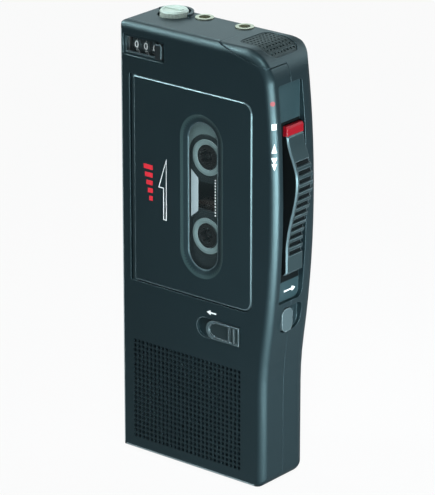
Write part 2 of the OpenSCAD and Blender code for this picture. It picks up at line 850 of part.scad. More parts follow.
// The room inside both shells
module cavity() {
  intersection() {
    along_x(in_left, in_right)
      round_rect(in_front, in_rear, wall, in_top, [0, foot_rear_r - wall, 0, 0]);
    along_y(in_front, in_rear) difference() {
      rect(in_left, in_right, wall, in_top);
      translate([mic_arc_x, mic_arc_z]) difference() {
        square(mic_corner_r);
        circle(mic_corner_r - wall, $fn = 128);
      }
    }
  }
}

// Zone of the rear shell: back, top face and microphone corner
module rear_zone(grow) {
  block(-far, far, split_y - grow, far, -far, far);
  block(-far, mic_x + eps, front_y + top_seam - grow, far, in_top - grow, far);
  along_y(-far, far)
    polygon([
      [mic_x - grow, far], [mic_x - grow, body_h - grow],
      [right_x, body_h - mic_seam_drop - grow], [far, body_h - mic_seam_drop - grow], [far, far]
    ]);
}

module track_recess(grow) {
  along_x(track_floor - track_plate_t, far)
    round_rect(track_y - grow, track_y1 + grow, track_z - grow, track_z + track_l + grow,
      [1, track_corner_r, 1, 1]);
}

module lock_recess() {
  along_x(lock_floor, far) lock_slot_shape();
  along_x(in_right - eps, far)
    rect(lock_knob_y + (lock_knob_w - lock_neck_w) / 2 - slide_gap,
      lock_knob_y + (lock_knob_w + lock_neck_w) / 2 + lock_travel + slide_gap,
      lock_z - lock_neck_h / 2 - slide_gap, lock_z + lock_neck_h / 2 + slide_gap);
}

module lock_slot_shape() {
  round_rect(lock_y, lock_y + lock_slot_l, lock_z - lock_slot_h / 2, lock_z + lock_slot_h / 2,
    [2, 3.6, 2, 2]);
}

module slider_slot() {
  along_x(in_right - eps, far)
    rect(slider_mid_y - slider_foot_w / 2 - slide_gap, slider_mid_y + slider_foot_w / 2 + slide_gap,
      slider_foot_z - slider_down - slide_gap, slider_foot_z + slider_foot_l + slider_up + slide_gap);
}

module door_outline(grow) {
  round_rect(door_x - grow, door_x1 + grow, door_z - grow, door_z1 + grow,
    [grow, door_corner_r + grow, door_corner_r + grow, grow]);
}

module eject_slot_shape(grow) {
  r = eject_slot_h / 2 + grow;
  rect(eject_x + r, eject_x + eject_slot_w + grow, eject_z - r, eject_z + r);
  translate([eject_x + r, eject_z]) circle(r);
}

// Sunk frame that holds counter window and reset button
module counter_frame_shape() {
  round_rect(counter_x - counter_border, reset_x + reset_w + counter_border,
    counter_z - counter_win_h / 2 - counter_border, counter_z + counter_win_h / 2 + counter_border,
    [0.6, 0.6, 0.6, 0.6]);
}

module speaker_holes() {
  for (col = [0 : grille_cols - 1])
    for (row = [0 : grille_rows - 1])
      translate([
        speaker_cx + (col - (grille_cols - 1) / 2) * grille_pitch,
        speaker_z + (row - (grille_rows - 1) / 2) * grille_pitch
      ]) circle(grille_hole_r, $fn = hole_fn);
}

module front_shell() {
  color(shell_colour) difference() {
    union() {
      difference() {
        body_solid();
        rear_zone(seam_gap);
        cavity();
      }
      for (i = [0, 1]) rod_y(boss_r, in_front - eps, split_y - seam_gap, screws[i][0], screws[i][1]);
      for (i = [2, 3]) {
        rod_y(boss_r, door_in + 1.8, split_y - seam_gap, screws[i][0], screws[i][1]);
        block(screws[i][0] - 0.6, screws[i][0] + 0.6, door_in + 1.8, split_y - seam_gap,
          screws[i][1], door_rib_top + eps);
      }
      block(in_left - eps, in_right + eps, in_front - eps, split_y - seam_gap, door_rib_z, door_rib_z + rib_t);
      block(in_left - eps, in_right + eps, in_front - eps, split_y - seam_gap, door_rib_top,
        door_rib_top + rib_t);
    }
    along_y(-far, in_front + eps) door_outline(door_gap);
    rod_z(hinge_pin_r + insert_gap / 2, door_z - hinge_pin_seat - insert_gap,
      door_z1 + hinge_pin_seat + insert_gap, hinge_x, hinge_y);
    along_y(-far, front_y + counter_sink) counter_frame_shape();
    along_y(-far, in_front + eps)
      rect(counter_x, counter_x + counter_win_w,
        counter_z - counter_win_h / 2, counter_z + counter_win_h / 2);
    along_y(-far, in_front + eps)
      rect(reset_x - slide_gap, reset_x + reset_w + slide_gap,
        counter_z - reset_h / 2 - slide_gap, counter_z + reset_h / 2 + slide_gap);
    along_y(-far, eject_floor) eject_slot_shape(0);
    along_y(-far, in_front + eps)
      rect(eject_neck_x - eject_neck_l / 2 - eject_travel - slide_gap,
        eject_neck_x + eject_neck_l / 2 + slide_gap,
        eject_z - eject_neck_h / 2 - slide_gap, eject_z + eject_neck_h / 2 + slide_gap);
    block(eject_arm_x - eject_travel - slide_gap, eject_bar_x1 + slide_gap, in_front - eps,
      eject_bar_y + eject_bar_t + slide_gap, door_rib_z - eps, door_rib_z + rib_t + eps);
    along_y(-far, in_front + eps) speaker_holes();
    track_recess(insert_gap);
    lock_recess();
    slider_slot();
    for (s = screws) rod_y(screw_r, in_front + 2, far, s[0], s[1]);
  }
}

// Battery bay, deck posts, board pads and shelves of the rear shell
module rear_fittings() {
  bay_foot = wall + insert_gap;
  bay_end = bay_top + bay_wall;
  bay_rear = in_rear - insert_gap / 2;
  bay_out = bay_half + bay_wall;
  difference() {
    block(-bay_out, bay_out, bay_floor, bay_rear, bay_foot, bay_end);
    block(-bay_half, bay_half, bay_floor + bay_wall, far, 0, bay_top);
  }
  for (x = [-bay_out, bay_half]) block(x, x + bay_wall, split_y + 1, in_rear - 3, wall - eps, bay_foot + eps);
  for (z = [lid_top / 2, bay_top])
    for (side = [0, 1]) mirror([side, 0, 0])
      block(bay_half, lid_w / 2 + 3, in_rear - 5, in_rear + eps, z, z + bay_wall);
  for (p = posts) rod_y(post_r, deck_back, in_rear + eps, p[0], p[1]);
  for (x = [board_x + 2, board_x + board_w - 2])
    for (z = [board_z + 2, board_z + board_h - 2])
      rod_y(1.4, board_back, in_rear + eps, x, z);
  for (s = screws) rod_y(boss_r, split_y, in_rear + eps, s[0], s[1]);
  rod_y(flywheel_hub_r, fly_y1 + 0.2, in_rear + eps, capstan_x, capstan_z);
  block(in_left - eps, top_board_x1, in_rear - 2.4, in_rear + eps, top_board_z - rib_t, top_board_z);
  block(mic_capsule_x - mic_capsule_r, in_right + eps, split_y + insert_gap, in_rear + eps,
    mic_capsule_z - mic_shelf_t, mic_capsule_z);
}

module lid_opening() {
  half = lid_w / 2 + slide_gap;
  block(-half, half, in_rear - insert_gap / 2, far, -far, lid_top + slide_gap);
  tongue_z = (lid_top + lid_foot) / 2 - lid_tongue_l / 2;
  tongue_y = (in_rear + rear_y) / 2;
  block(-lid_w / 2 - lid_tongue_w - slide_gap, lid_w / 2 + lid_tongue_w + slide_gap,
    tongue_y - lid_tongue_t / 2 - slide_gap / 2, tongue_y + lid_tongue_t / 2 + slide_gap / 2,
    tongue_z - lid_travel - slide_gap, tongue_z + lid_tongue_l + slide_gap);
}

// Skin of the microphone corner, between two depths
module mic_shape(depth, lead) {
  difference() {
    rect(mic_x - lead, mic_arc_x + mic_corner_r, mic_arc_z - lead, body_h - depth);
    translate([mic_arc_x, mic_arc_z]) difference() {
      translate([0, -lead]) square(2 * mic_corner_r);
      circle(mic_corner_r - depth, $fn = 128);
      rect(0, mic_corner_r - depth, -lead - 1, 0);
    }
  }
}

module mic_skin(depth0, depth1) {
  along_y(front_y, rear_y) difference() {
    mic_shape(depth0, 0);
    mic_shape(depth1, 1);
  }
}

module mic_window(grow) {
  translate([0, 0, body_h - mic_corner_r]) linear_extrude(mic_corner_r + 1)
    round_rect(mic_grille_x - grow, mic_grille_x + mic_grille_w + grow, mic_grille_y - grow,
      mic_grille_y + mic_grille_d + grow,
      [mic_grille_r, mic_grille_r, mic_grille_r, mic_grille_r]);
}

module rear_shell() {
  color(rear_colour) difference() {
    union() {
      intersection() {
        difference() {
          union() {
            body_solid();
            intersection() {
              rod_z(volume_hole_r + volume_collar, in_top + 0.5, body_h + volume_collar_h,
                volume_cx, volume_cy);
              block(-far, far, volume_cy, far, 0, far);
            }
          }
          cavity();
        }
        rear_zone(0);
      }
      rear_fittings();
    }
    lid_opening();
    block(-bay_half, bay_half, bay_floor + bay_wall, in_rear, cell_z - inner_gap, bay_top);
    rod_z(volume_hole_r, in_top - eps, far, volume_cx, volume_cy);
    for (x = [ear_jack_x, mic_jack_x]) {
      rod_z(jack_barrel_r + insert_gap, in_top - eps, far, left_x + x, jack_y);
      rod_z(jack_ring_r + insert_gap, body_h - 0.7, far, left_x + x, jack_y);
    }
    intersection() {
      mic_window(insert_gap);
      mic_skin(-1, mic_grille_t + mic_grille_sink);
    }
    intersection() {
      mic_window(-0.8);
      mic_skin(-1, wall + 0.3);
    }
    track_recess(insert_gap);
    lock_recess();
    slider_slot();
    for (s = screws) {
      rod_y(screw_r + insert_gap, split_y - eps, far, s[0], s[1]);
      rod_y(screw_head_r + insert_gap, rear_y - screw_sink - screw_head_h, far, s[0], s[1]);
    }
  }
}

module mic_grille() {
  cols = floor((mic_grille_w - 2) / mic_hole_pitch);
  rows = floor((mic_grille_d - 2) / mic_hole_pitch);
  color("#3a484a") difference() {
    intersection() {
      mic_window(0);
      mic_skin(mic_grille_sink, mic_grille_sink + mic_grille_t);
    }
    translate([mic_grille_x + mic_grille_w / 2, mic_grille_y + mic_grille_d / 2, body_h - mic_corner_r])
      linear_extrude(mic_corner_r + 1)
        for (i = [0 : cols])
          for (j = [0 : rows])
            translate([(i - cols / 2) * mic_hole_pitch, (j - rows / 2) * mic_hole_pitch])
              circle(mic_hole_r, $fn = hole_fn);
  }
}

module mic_capsule() {
  color("#8f9698") {
    rod_z(mic_capsule_r, mic_capsule_z, mic_capsule_z + mic_capsule_h, mic_capsule_x, mic_capsule_y);
  }
}

module counter_window() {
  color("#9fb0b5", 0.4)
    along_y(front_y + counter_sink, front_y + counter_sink + counter_win_t)
      rect(counter_x + insert_gap, counter_x + counter_win_w - insert_gap,
        counter_z - counter_win_h / 2 + insert_gap, counter_z + counter_win_h / 2 - insert_gap);
}

module counter_frame() {
  back_y = counter_y + digit_r + inner_gap;
  color(steel_colour) difference() {
    union() {
      along_x(in_left + insert_gap, in_left + insert_gap + counter_frame_t)
        rect(in_front + insert_gap, back_y + counter_frame_t, counter_z - 3, counter_z + 3);
      along_x(counter_frame_x, counter_frame_x + counter_frame_t)
        rect(counter_plate_y, back_y + counter_frame_t, counter_z - 3, counter_z + 3);
      block(in_left + insert_gap, counter_frame_x + counter_frame_t, back_y, back_y + counter_frame_t,
        counter_z - 2, counter_z + 2);
    }
    rod_x(counter_shaft_r + shaft_gap / 2, left_x, right_x, counter_y, counter_z);
  }
}

module counter_shaft() {
  color(steel_colour)
    rod_x(counter_shaft_r, in_left + insert_gap, counter_frame_x + counter_frame_t, counter_y, counter_z);
}

module digit_wheel(i) {
  x = digit_x + i * digit_pitch;
  color("#17191a") difference() {
    rod_x(digit_r, x - digit_w / 2, x + digit_w / 2, counter_y, counter_z);
    rod_x(counter_shaft_r + shaft_gap, x - digit_w, x + digit_w, counter_y, counter_z);
    for (side = [-1, 1])
      along_x(x + side * digit_w / 2 - 0.5, x + side * digit_w / 2 + 0.5)
        translate([counter_y, counter_z]) difference() {
          circle(digit_r - 0.8);
          circle(counter_shaft_r + 0.8);
        }
  }
}

module digit_wheel_hundreds() { digit_wheel(0); }
module digit_wheel_tens() { digit_wheel(1); }
module digit_wheel_units() { digit_wheel(2); }

module reset_button() {
  color("#101516")
    along_y(front_y - reset_proud, reset_back)
      round_rect(reset_x, reset_x + reset_w, counter_z - reset_h / 2, counter_z + reset_h / 2,
        [0.5, 0.5, 0.5, 0.5]);
}

// Pressed basket with a flat rim and four windows
module speaker_frame() {
  y = in_front;
  color("#6d7376") difference() {
    turned_y(speaker_cx, speaker_z)
      polygon([
        [speaker_r - speaker_rim, y], [speaker_r, y], [speaker_r, y + 0.9],
        [speaker_r - speaker_rim, y + 0.9], [speaker_r * 0.62, y + speaker_d - 0.6],
        [speaker_r * 0.5, y + speaker_d - 0.6], [speaker_r * 0.5, y + speaker_d - 1.1],
        [speaker_r * 0.6, y + speaker_d - 1.1], [speaker_r - speaker_rim - 0.6, y + 0.6],
        [speaker_r - speaker_rim, y + 0.6]
      ]);
    for (a = [45 : 90 : 315])
      translate([speaker_cx, 0, speaker_z]) rotate([0, a, 0])
        block(speaker_r * 0.66, speaker_r - speaker_rim - 0.8, y + 0.9 + eps, y + speaker_d, -3, 3);
  }
}

module speaker_cone() {
  y = in_front + 0.25;
  r = speaker_r - speaker_rim - 0.2;
  color("#23282a") turned_y(speaker_cx, speaker_z)
    polygon([
      [0, y + 0.3], [3.4, y + 0.9], [4.2, y + 1.1], [r - 1.6, y + 0.1], [r - 0.8, y],
      [r, y + 0.1], [r, y + 0.3], [r - 0.8, y + 0.2], [r - 1.6, y + 0.3], [4.2, y + 1.3], [0, y + 0.6]
    ]);
}

module speaker_magnet() {
  y = in_front;
  color("#4a4d50")
    rod_y(speaker_r * 0.5 - 0.1, y + speaker_d - 1.4, y + speaker_d, speaker_cx, speaker_z);
}

module deck_plate() {
  color(steel_colour) difference() {
    union() {
      along_y(deck_y, deck_back) difference() {
        round_rect(deck_x, deck_x1, deck_z, deck_z1, [1, 1, 1, 1]);
        translate([hub_x, takeup_z]) circle(spindle_r + shaft_gap);
        translate([hub_x, supply_z]) circle(spindle_r + shaft_gap);
        translate([capstan_x, capstan_z]) circle(bearing_r);
        for (z = head_pins) {
          rect(head_pin_x, head_pin_x + head_travel, z - head_pin_r - slide_gap, z + head_pin_r + slide_gap);
          for (x = [0, head_travel]) translate([head_pin_x + x, z]) circle(head_pin_r + slide_gap);
        }
        round_rect(hub_x + 9, deck_x1 - 3, cas_cz - 12, cas_cz + 12, [2, 2, 2, 2]);
        rect(-bay_half, bay_half, 0, bay_top + inner_gap);
      }
      rod_y(idler_pin_r, deck_back - eps, gear_y + gear_t + 0.5, idler_x, idler_z);
    }
  }
}

module capstan_bearing() {
  color("#b08d4a") difference() {
    rod_y(bearing_r, deck_y - 0.1, deck_back + 0.15, capstan_x, capstan_z);
    rod_y(capstan_r + shaft_gap, -far, far, capstan_x, capstan_z);
  }
}

module motor() {
  color("#a9adb0") difference() {
    union() {
      turned_y(motor_cx, motor_z)
        polygon([
          [0, deck_back], [motor_r - 0.8, deck_back], [motor_r, deck_back + 0.8],
          [motor_r, deck_back + motor_t - 0.4], [motor_r - 0.4, deck_back + motor_t],
          [2.2, deck_back + motor_t], [2.2, deck_back + motor_t + 0.3], [0, deck_back + motor_t + 0.3]
        ]);
    }
    rod_y(motor_shaft_r + shaft_gap, deck_back + 0.8, far, motor_cx, motor_z);
  }
}

module motor_pulley() {
  y = belt_y;
  color("#c2a25a") turned_y(motor_cx, motor_z)
    polygon([
      [0, deck_back + 1], [motor_shaft_r, deck_back + 1], [motor_shaft_r, y - belt_w / 2 - 0.6],
      [pulley_r, y - belt_w / 2 - 0.6], [pulley_r, y - belt_w / 2 - 0.15],
      [pulley_groove_r, y - belt_w / 2 - 0.05], [pulley_groove_r, y + belt_w / 2 + 0.05],
      [pulley_r, y + belt_w / 2 + 0.15], [pulley_r, y + belt_w / 2 + 0.6], [0, y + belt_w / 2 + 0.6]
    ]);
}

// Outline of a taut loop round the flywheel and the pulley
function belt_loop(fly_r, small_r) =
  let (d = [motor_cx - capstan_x, motor_z - capstan_z], way = atan2(d[1], d[0]),
    lean = acos((fly_r - small_r) / norm(d)))
  concat(
    arc_points(capstan_x, capstan_z, fly_r, way + lean, 360 - 2 * lean, 60),
    arc_points(motor_cx, motor_z, small_r, way - lean, 2 * lean, 20)
  );

module drive_belt() {
  color("#1b1b1c") along_y(belt_y - belt_w / 2, belt_y + belt_w / 2) difference() {
    polygon(belt_loop(flywheel_r - belt_groove + shaft_gap + belt_t, pulley_groove_r + shaft_gap + belt_t));
    polygon(belt_loop(flywheel_r - belt_groove + shaft_gap, pulley_groove_r + shaft_gap));
  }
}

// Involute gear drawn with one tooth along +x
function involute_turn(base, r) = r <= base ? 0 : sqrt(pow(r / base, 2) - 1) * 180 / PI - acos(base / r);
function tooth_half(n, r) =
  let (pitch = gear_m * n / 2, base = pitch * cos(20))
  90 / n - gear_slack / 4 / pitch * 180 / PI + involute_turn(base, pitch) - involute_turn(base, r);
function tooth_radii(n) =
  let (pitch = gear_m * n / 2)
  [pitch - 1.05 * gear_m, max(pitch * cos(20), pitch - 0.8 * gear_m), pitch, pitch + 0.4 * gear_m,
    pitch + 0.8 * gear_m];
function gear_points(n) = [
  for (i = [0 : n - 1]) each concat(
    [for (r = tooth_radii(n)) polar(r, i * 360 / n - tooth_half(n, r))],
    [for (k = [4 : -1 : 0]) let (r = tooth_radii(n)[k]) polar(r, i * 360 / n + tooth_half(n, r))])
];

module gear(n, phase, x, z) {
  along_y(gear_y, gear_y + gear_t) translate([x, z]) rotate(phase) polygon(gear_points(n));
}

module flywheel() {
  y = belt_y;
  color("#8d9194") difference() {
    union() {
      gear(pinion_n, idler_turn, capstan_x, capstan_z);
      turned_y(capstan_x, capstan_z)
        polygon([
          [0, gear_y + gear_t - eps], [flywheel_hub_r, gear_y + gear_t - eps], [flywheel_hub_r, fly_y],
          [flywheel_r, fly_y], [flywheel_r, y - belt_w / 2 - 0.15],
          [flywheel_r - belt_groove, y - belt_w / 2 - 0.05],
          [flywheel_r - belt_groove, y + belt_w / 2 + 0.05], [flywheel_r, y + belt_w / 2 + 0.15],
          [flywheel_r, fly_y1], [flywheel_r - 2.4, fly_y1], [flywheel_r - 2.8, fly_y1 - 0.8],
          [4, fly_y1 - 0.8], [3.6, fly_y1], [0, fly_y1]
        ]);
    }
    rod_y(capstan_r, -far, far, capstan_x, capstan_z);
  }
}

module capstan() {
  color("#dfe3e6")
    rod_y(capstan_r, cas_y + 1.4, fly_y1 + 0.1, capstan_x, capstan_z);
}

module idler_gear() {
  color(cream_colour) difference() {
    gear(idler_n, idler_phase, idler_x, idler_z);
    rod_y(idler_pin_r + shaft_gap, -far, far, idler_x, idler_z);
  }
}

// Reel spindle: gear behind the deck, shaft, fins and cone in front
module spindle(z, phase) {
  tip = cas_y1 - spindle_reach;
  color(cream_colour) {
    gear(reel_n, phase, hub_x, z);
    turned_y(hub_x, z)
      polygon([
        [0, tip - 1], [0.7, tip - 1], [spindle_r, tip], [spindle_r, gear_y + eps], [0, gear_y + eps]
      ]);
    for (a = [0 : 120 : 240])
      along_y(tip, deck_y - slide_gap) translate([hub_x, z]) rotate(phase + a)
        rect(spindle_r - 0.2, spindle_r + spindle_fin, -0.3, 0.3);
  }
}

module takeup_spindle() { spindle(takeup_z, takeup_phase); }
module supply_spindle() { spindle(supply_z, 0); }

module hub(z, phase) {
  color("#e8e8e0") difference() {
    union() {
      rod_y(hub_drum_r, cas_y + cas_wall + inner_gap, cas_y1 - cas_wall - inner_gap, hub_x, z);
      rod_y(hub_collar_r, cas_y + 0.2, cas_y1 - 0.2, hub_x, z);
    }
    along_y(-far, far) translate([hub_x, z]) difference() {
      circle(hub_hole_r);
      for (a = [30 : 60 : 330]) rotate(phase + a)
        rect(hub_hole_r - hub_tooth, hub_hole_r + 0.2, -0.45, 0.45);
    }
  }
}

module takeup_hub() { hub(takeup_z, takeup_phase); }
module supply_hub() { hub(supply_z, 0); }

module tape_pack(z, r) {
  color("#4a332a") along_y(cas_mid_y - tape_w / 2, cas_mid_y + tape_w / 2)
    translate([hub_x, z]) difference() {
      circle(r, $fn = 128);
      circle(hub_drum_r + 0.02);
    }
}

module takeup_tape() { tape_pack(takeup_z, takeup_pack_r); }
module supply_tape() { tape_pack(supply_z, supply_pack_r); }

// Cassette outline with bites for heads and pinch roller
module cassette_outline() {
  difference() {
    round_rect(cas_x, cas_x1, cas_z, cas_z + cas_l, [1.2, 1.2, 1.2, 1.2]);
    rect(cas_x - 1, tape_x + 0.6, cas_cz - head_h / 2 - 0.8, cas_cz + head_h / 2 + 0.8);
    rect(cas_x - 1, tape_x + 0.6, cas_cz - erase_down - erase_h / 2 - 0.7,
      cas_cz - erase_down + erase_h / 2 + 0.7);
    rect(cas_x - 1, capstan_x + capstan_r + 0.9, capstan_z - pinch_r - 0.6, capstan_z + pinch_r + 0.6);
    for (z = [takeup_z, supply_z]) translate([hub_x, z]) circle(hub_collar_r + 0.15);
  }
}

module cassette_wall_shape() {
  difference() {
    cassette_outline();
    rect(tape_x - 0.6, cas_x1 - cas_wall, cas_z + cas_wall, cas_z + cas_l - cas_wall);
  }
}

module cassette_front() {
  color("#2b3133") {
    along_y(cas_y, cas_y + cas_wall) difference() {
      cassette_outline();
      round_rect(hub_x - cas_window_w / 2, hub_x + cas_window_w / 2, cas_cz - cas_window_h / 2,
        cas_cz + cas_window_h / 2, [0.6, 0.6, 0.6, 0.6]);
    }
    along_y(cas_y + cas_wall - eps, cas_mid_y) cassette_wall_shape();
  }
}

module cassette_rear() {
  color("#2b3133") {
    along_y(cas_y1 - cas_wall, cas_y1) cassette_outline();
    along_y(cas_mid_y, cas_y1 - cas_wall + eps) cassette_wall_shape();
    for (side = [-1, 1])
      rod_y(guide_pin_r, cas_y + cas_wall, cas_y1 - cas_wall + eps, guide_x, cas_cz + side * guide_z);
  }
}

module guide_roller(z) {
  color("#c9ccc8") difference() {
    rod_y(guide_r, cas_y + cas_wall + inner_gap, cas_y1 - cas_wall - inner_gap, guide_x, z);
    rod_y(guide_pin_r + shaft_gap, -far, far, guide_x, z);
  }
}

module guide_roller_upper() { guide_roller(cas_cz + guide_z); }
module guide_roller_lower() { guide_roller(cas_cz - guide_z); }

// One face of the tape, from a pack round its roller
function tape_face(side, pack_z, pack_r, lift) =
  let (r0 = guide_r + shaft_gap, r1 = pack_r + shaft_gap,
    d = [hub_x - guide_x, side * (pack_z - cas_cz) - guide_z],
    lean = atan2(d[1], d[0]) + 90 + asin((r1 - r0) / norm(d)),
    face = concat([[hub_x, guide_z + d[1]] + polar(r1 + lift, lean)],
      arc_points(guide_x, guide_z, r0 + lift, lean, 180 - lean, 12)))
  [for (p = face) [p[0], cas_cz + side * p[1]]];
function flip(list) = [for (i = [len(list) - 1 : -1 : 0]) list[i]];

// Tape from one pack round both rollers to the other pack
module tape_run() {
  color("#4a332a") along_y(cas_mid_y - tape_w / 2, cas_mid_y + tape_w / 2)
    polygon(concat(
      tape_face(1, takeup_z, takeup_pack_r, 0), flip(tape_face(-1, supply_z, supply_pack_r, 0)),
      tape_face(-1, supply_z, supply_pack_r, tape_t), flip(tape_face(1, takeup_z, takeup_pack_r, tape_t))
    ));
}

// Door with a rounded hinge edge, a bevelled frame and the sunk window
module cassette_door() {
  color(shell_colour) difference() {
    union() {
      along_y(front_y + door_bevel, door_in) difference() {
        door_outline(0);
        rect(-far, hinge_x, -far, far);
      }
      along_y(front_y, front_y + door_bevel + eps) difference() {
        round_rect(hinge_x, door_x1 - door_bevel, door_z + door_bevel, door_z1 - door_bevel,
          [0, door_corner_r - door_bevel, door_corner_r - door_bevel, 0]);
      }
      rod_z(hinge_barrel_r, door_z, door_z1, hinge_x, hinge_y);
      block(eject_bar_x1 + inner_gap, eject_bar_x1 + inner_gap + door_catch_l, door_in - eps, door_in + 1,
        door_z + 0.4, door_z + 2);
    }
    rod_z(hinge_pin_r + shaft_gap, -far, far, hinge_x, hinge_y);
    window_funnel();
    along_y(door_in - window_lens_t, far)
      slot_z(window_cx, window_cz, window_glass_r + window_lip + insert_gap, window_half);
  }
}

// Sloping sides of the window recess
module window_funnel() {
  glass_y = front_y + window_slope_d;
  lead = window_slope / window_slope_d * 0.5;
  rim_r = window_rim_w / 2 + lead;
  for (side = [-1, 1])
    turned_y(window_cx, window_cz + side * window_half)
      polygon([[0, front_y - 0.5], [rim_r, front_y - 0.5], [window_glass_r, glass_y],
        [window_glass_r, door_in + eps], [0, door_in + eps]]);
  translate([window_cx, 0, window_cz - window_half]) linear_extrude(2 * window_half)
    polygon([[-rim_r, front_y - 0.5], [rim_r, front_y - 0.5], [window_glass_r, glass_y],
      [window_glass_r, door_in + eps], [-window_glass_r, door_in + eps], [-window_glass_r, glass_y]]);
}

module door_window() {
  color("#aebcc0", 0.35) along_y(door_in - window_lens_t, door_in)
    slot_z(window_cx, window_cz, window_glass_r + window_lip, window_half);
}

// Bent leaf that presses the cassette down
module door_spring() {
  x = cas_x + 5;
  color(steel_colour) along_x(x - 2, x + 2)
    polygon([
      [door_in, cas_cz - 12], [door_in + 0.3, cas_cz - 12], [door_in + 0.3, cas_cz - 6],
      [door_in + 0.5, cas_cz], [door_in + 0.3, cas_cz + 6], [door_in + 0.3, cas_cz + 12],
      [door_in, cas_cz + 12], [door_in, cas_cz + 6], [door_in + 0.2, cas_cz], [door_in, cas_cz - 6]
    ]);
}

module hinge_pin() {
  color(steel_colour)
    rod_z(hinge_pin_r, door_z - hinge_pin_seat, door_z1 + hinge_pin_seat, hinge_x, hinge_y);
}

module track_plate() {
  color("#49636a") difference() {
    along_x(track_floor - track_plate_t, track_floor)
      round_rect(track_y, track_y1, track_z, track_z + track_l, [1, track_corner_r, 1, 1]);
    slider_slot();
  }
}

// Height of the slider's back at t from its lower end
function wave(t) =
  let (d = t - slider_crest, span = d > 0 ? slider_rise : slider_fall)
  slider_end_h - slide_gap + slider_hump * (abs(d) > span ? 0 : 0.5 + 0.5 * cos(180 * d / span));
slider_steps = 64;

module slider_outline() {
  polygon(concat(
    [[slider_base, slider_z + 0.6]],
    [[slider_base + wave(0) - 0.7, slider_z]],
    [for (i = [1 : slider_steps - 1])
      let (t = slider_l * i / slider_steps) [slider_base + wave(t), slider_z + t]],
    [[slider_base + wave(slider_l) - 0.4, slider_top], [slider_base, slider_top]]
  ));
}

module control_slider() {
  color("#4c6169") {
    difference() {
      along_y(slider_y, slider_y1) slider_outline();
      block(-far, far, -far, far, slider_top - record_cap_l, far);
    }
    for (i = [0 : slider_ribs - 1]) {
      t = slider_crest - slider_fall + 7 + i * slider_rib_pitch;
      rod_y(slider_rib_r, slider_y + slider_border, slider_y1 - slider_border / 2,
        slider_base + wave(t) - slider_rib_r * 0.3, slider_z + t);
    }
    block(in_right, slider_base + eps, slider_mid_y - slider_foot_w / 2, slider_mid_y + slider_foot_w / 2,
      slider_foot_z, slider_foot_z + slider_foot_l);
  }
}

module record_cap() {
  color("#b51427") intersection() {
    along_y(slider_y, slider_y1) slider_outline();
    block(-far, far, -far, far, slider_top - record_cap_l + 0.02, far);
  }
}

module lock_knob() {
  x1 = lock_floor + slide_gap + lock_knob_t;
  color("#768c92") {
    along_x(lock_floor + slide_gap, x1)
      round_rect(lock_knob_y, lock_knob_y + lock_knob_w, lock_z - lock_knob_h / 2, lock_z + lock_knob_h / 2,
        [2, 2, 2, 2]);
    along_x(in_right, lock_floor + slide_gap + eps)
      rect(lock_knob_y + (lock_knob_w - lock_neck_w) / 2, lock_knob_y + (lock_knob_w + lock_neck_w) / 2,
        lock_z - lock_neck_h / 2, lock_z + lock_neck_h / 2);
  }
}

// Knob with one round end, a hollow for the finger and two ribs
module eject_knob() {
  r = eject_slot_h / 2 - slide_gap;
  back = eject_floor - slide_gap;
  color("#39484b") {
    difference() {
      along_y(front_y - eject_proud, eject_floor - slide_gap / 2) {
        rect(eject_knob_x + r, eject_knob_x1, eject_z - r, eject_z + r);
        translate([eject_knob_x + r, eject_z]) circle(r);
      }
      along_y(-far, front_y - eject_proud + 0.6) difference() {
        union() {
          rect(eject_knob_x + r, eject_knob_x1 - 0.6, eject_z - r + 0.6, eject_z + r - 0.6);
          translate([eject_knob_x + r, eject_z]) circle(r - 1);
        }
        for (dx = [2.6, 4.4]) rect(eject_knob_x1 - dx, eject_knob_x1 - dx + 0.6, -far, far);
      }
    }
    block(eject_neck_x - eject_neck_l / 2, eject_neck_x + eject_neck_l / 2, back, eject_bar_y,
      eject_z - eject_neck_h / 2, eject_z + eject_neck_h / 2);
  }
}

module eject_latch() {
  color(steel_colour) {
    block(eject_bar_x, eject_bar_x1, eject_bar_y, eject_bar_y + eject_bar_t, eject_z - eject_bar_h / 2,
      eject_z + eject_bar_h / 2);
    block(eject_arm_x, eject_bar_x1, eject_bar_y, eject_bar_y + eject_bar_t, eject_z,
      door_z + eject_arm_reach);
  }
}

// Knurled dial with a raised grip bar across its face
module volume_dial() {
  top = body_h + volume_proud;
  color("#c3cbc4") difference() {
    union() {
      translate([volume_cx, volume_cy, 0]) rotate_extrude()
        polygon([
          [0, pot_top + inner_gap], [volume_r, pot_top + inner_gap], [volume_r, top - 0.9],
          [volume_r - 0.5, top - 0.3], [volume_r - 1.1, top - 0.3], [volume_r - 1.4, top - 0.6], [0, top - 0.6]
        ]);
      block(volume_cx - volume_r + 1.3, volume_cx + volume_r - 1.3, volume_cy - 0.6, volume_cy + 0.6,
        top - 1, top);
    }
    for (i = [0 : volume_grooves - 1])
      translate([volume_cx, volume_cy, 0]) rotate(i * 360 / volume_grooves)
        rod_z(0.22, in_top - far / 2, far, volume_r + 0.06, 0);
    rod_z(volume_shaft_r + shaft_gap, 0, pot_top + 1.4, volume_cx, volume_cy);
  }
}

module volume_pot() {
  color("#5b5f5c") {
    rod_z(pot_r, top_board_z + top_board_t, pot_top, volume_cx, volume_cy);
    rod_z(volume_shaft_r, pot_top - eps, pot_top + 1.2, volume_cx, volume_cy);
  }
}

module jack(x) {
  top = body_h + jack_ring_proud;
  color("#b9a86a") difference() {
    union() {
      rod_z(jack_barrel_r, top_board_z + top_board_t, top - eps, left_x + x, jack_y);
      rod_z(jack_ring_r, body_h - 0.7, top, left_x + x, jack_y);
    }
    rod_z(jack_bore_r, top - jack_bore_l, far, left_x + x, jack_y);
  }
}

module ear_jack() { jack(ear_jack_x); }
module mic_jack() { jack(mic_jack_x); }

module top_board() {
  color("#3d6b45")
    block(in_left + insert_gap, top_board_x1, top_board_y, in_rear - insert_gap, top_board_z,
      top_board_z + top_board_t);
}

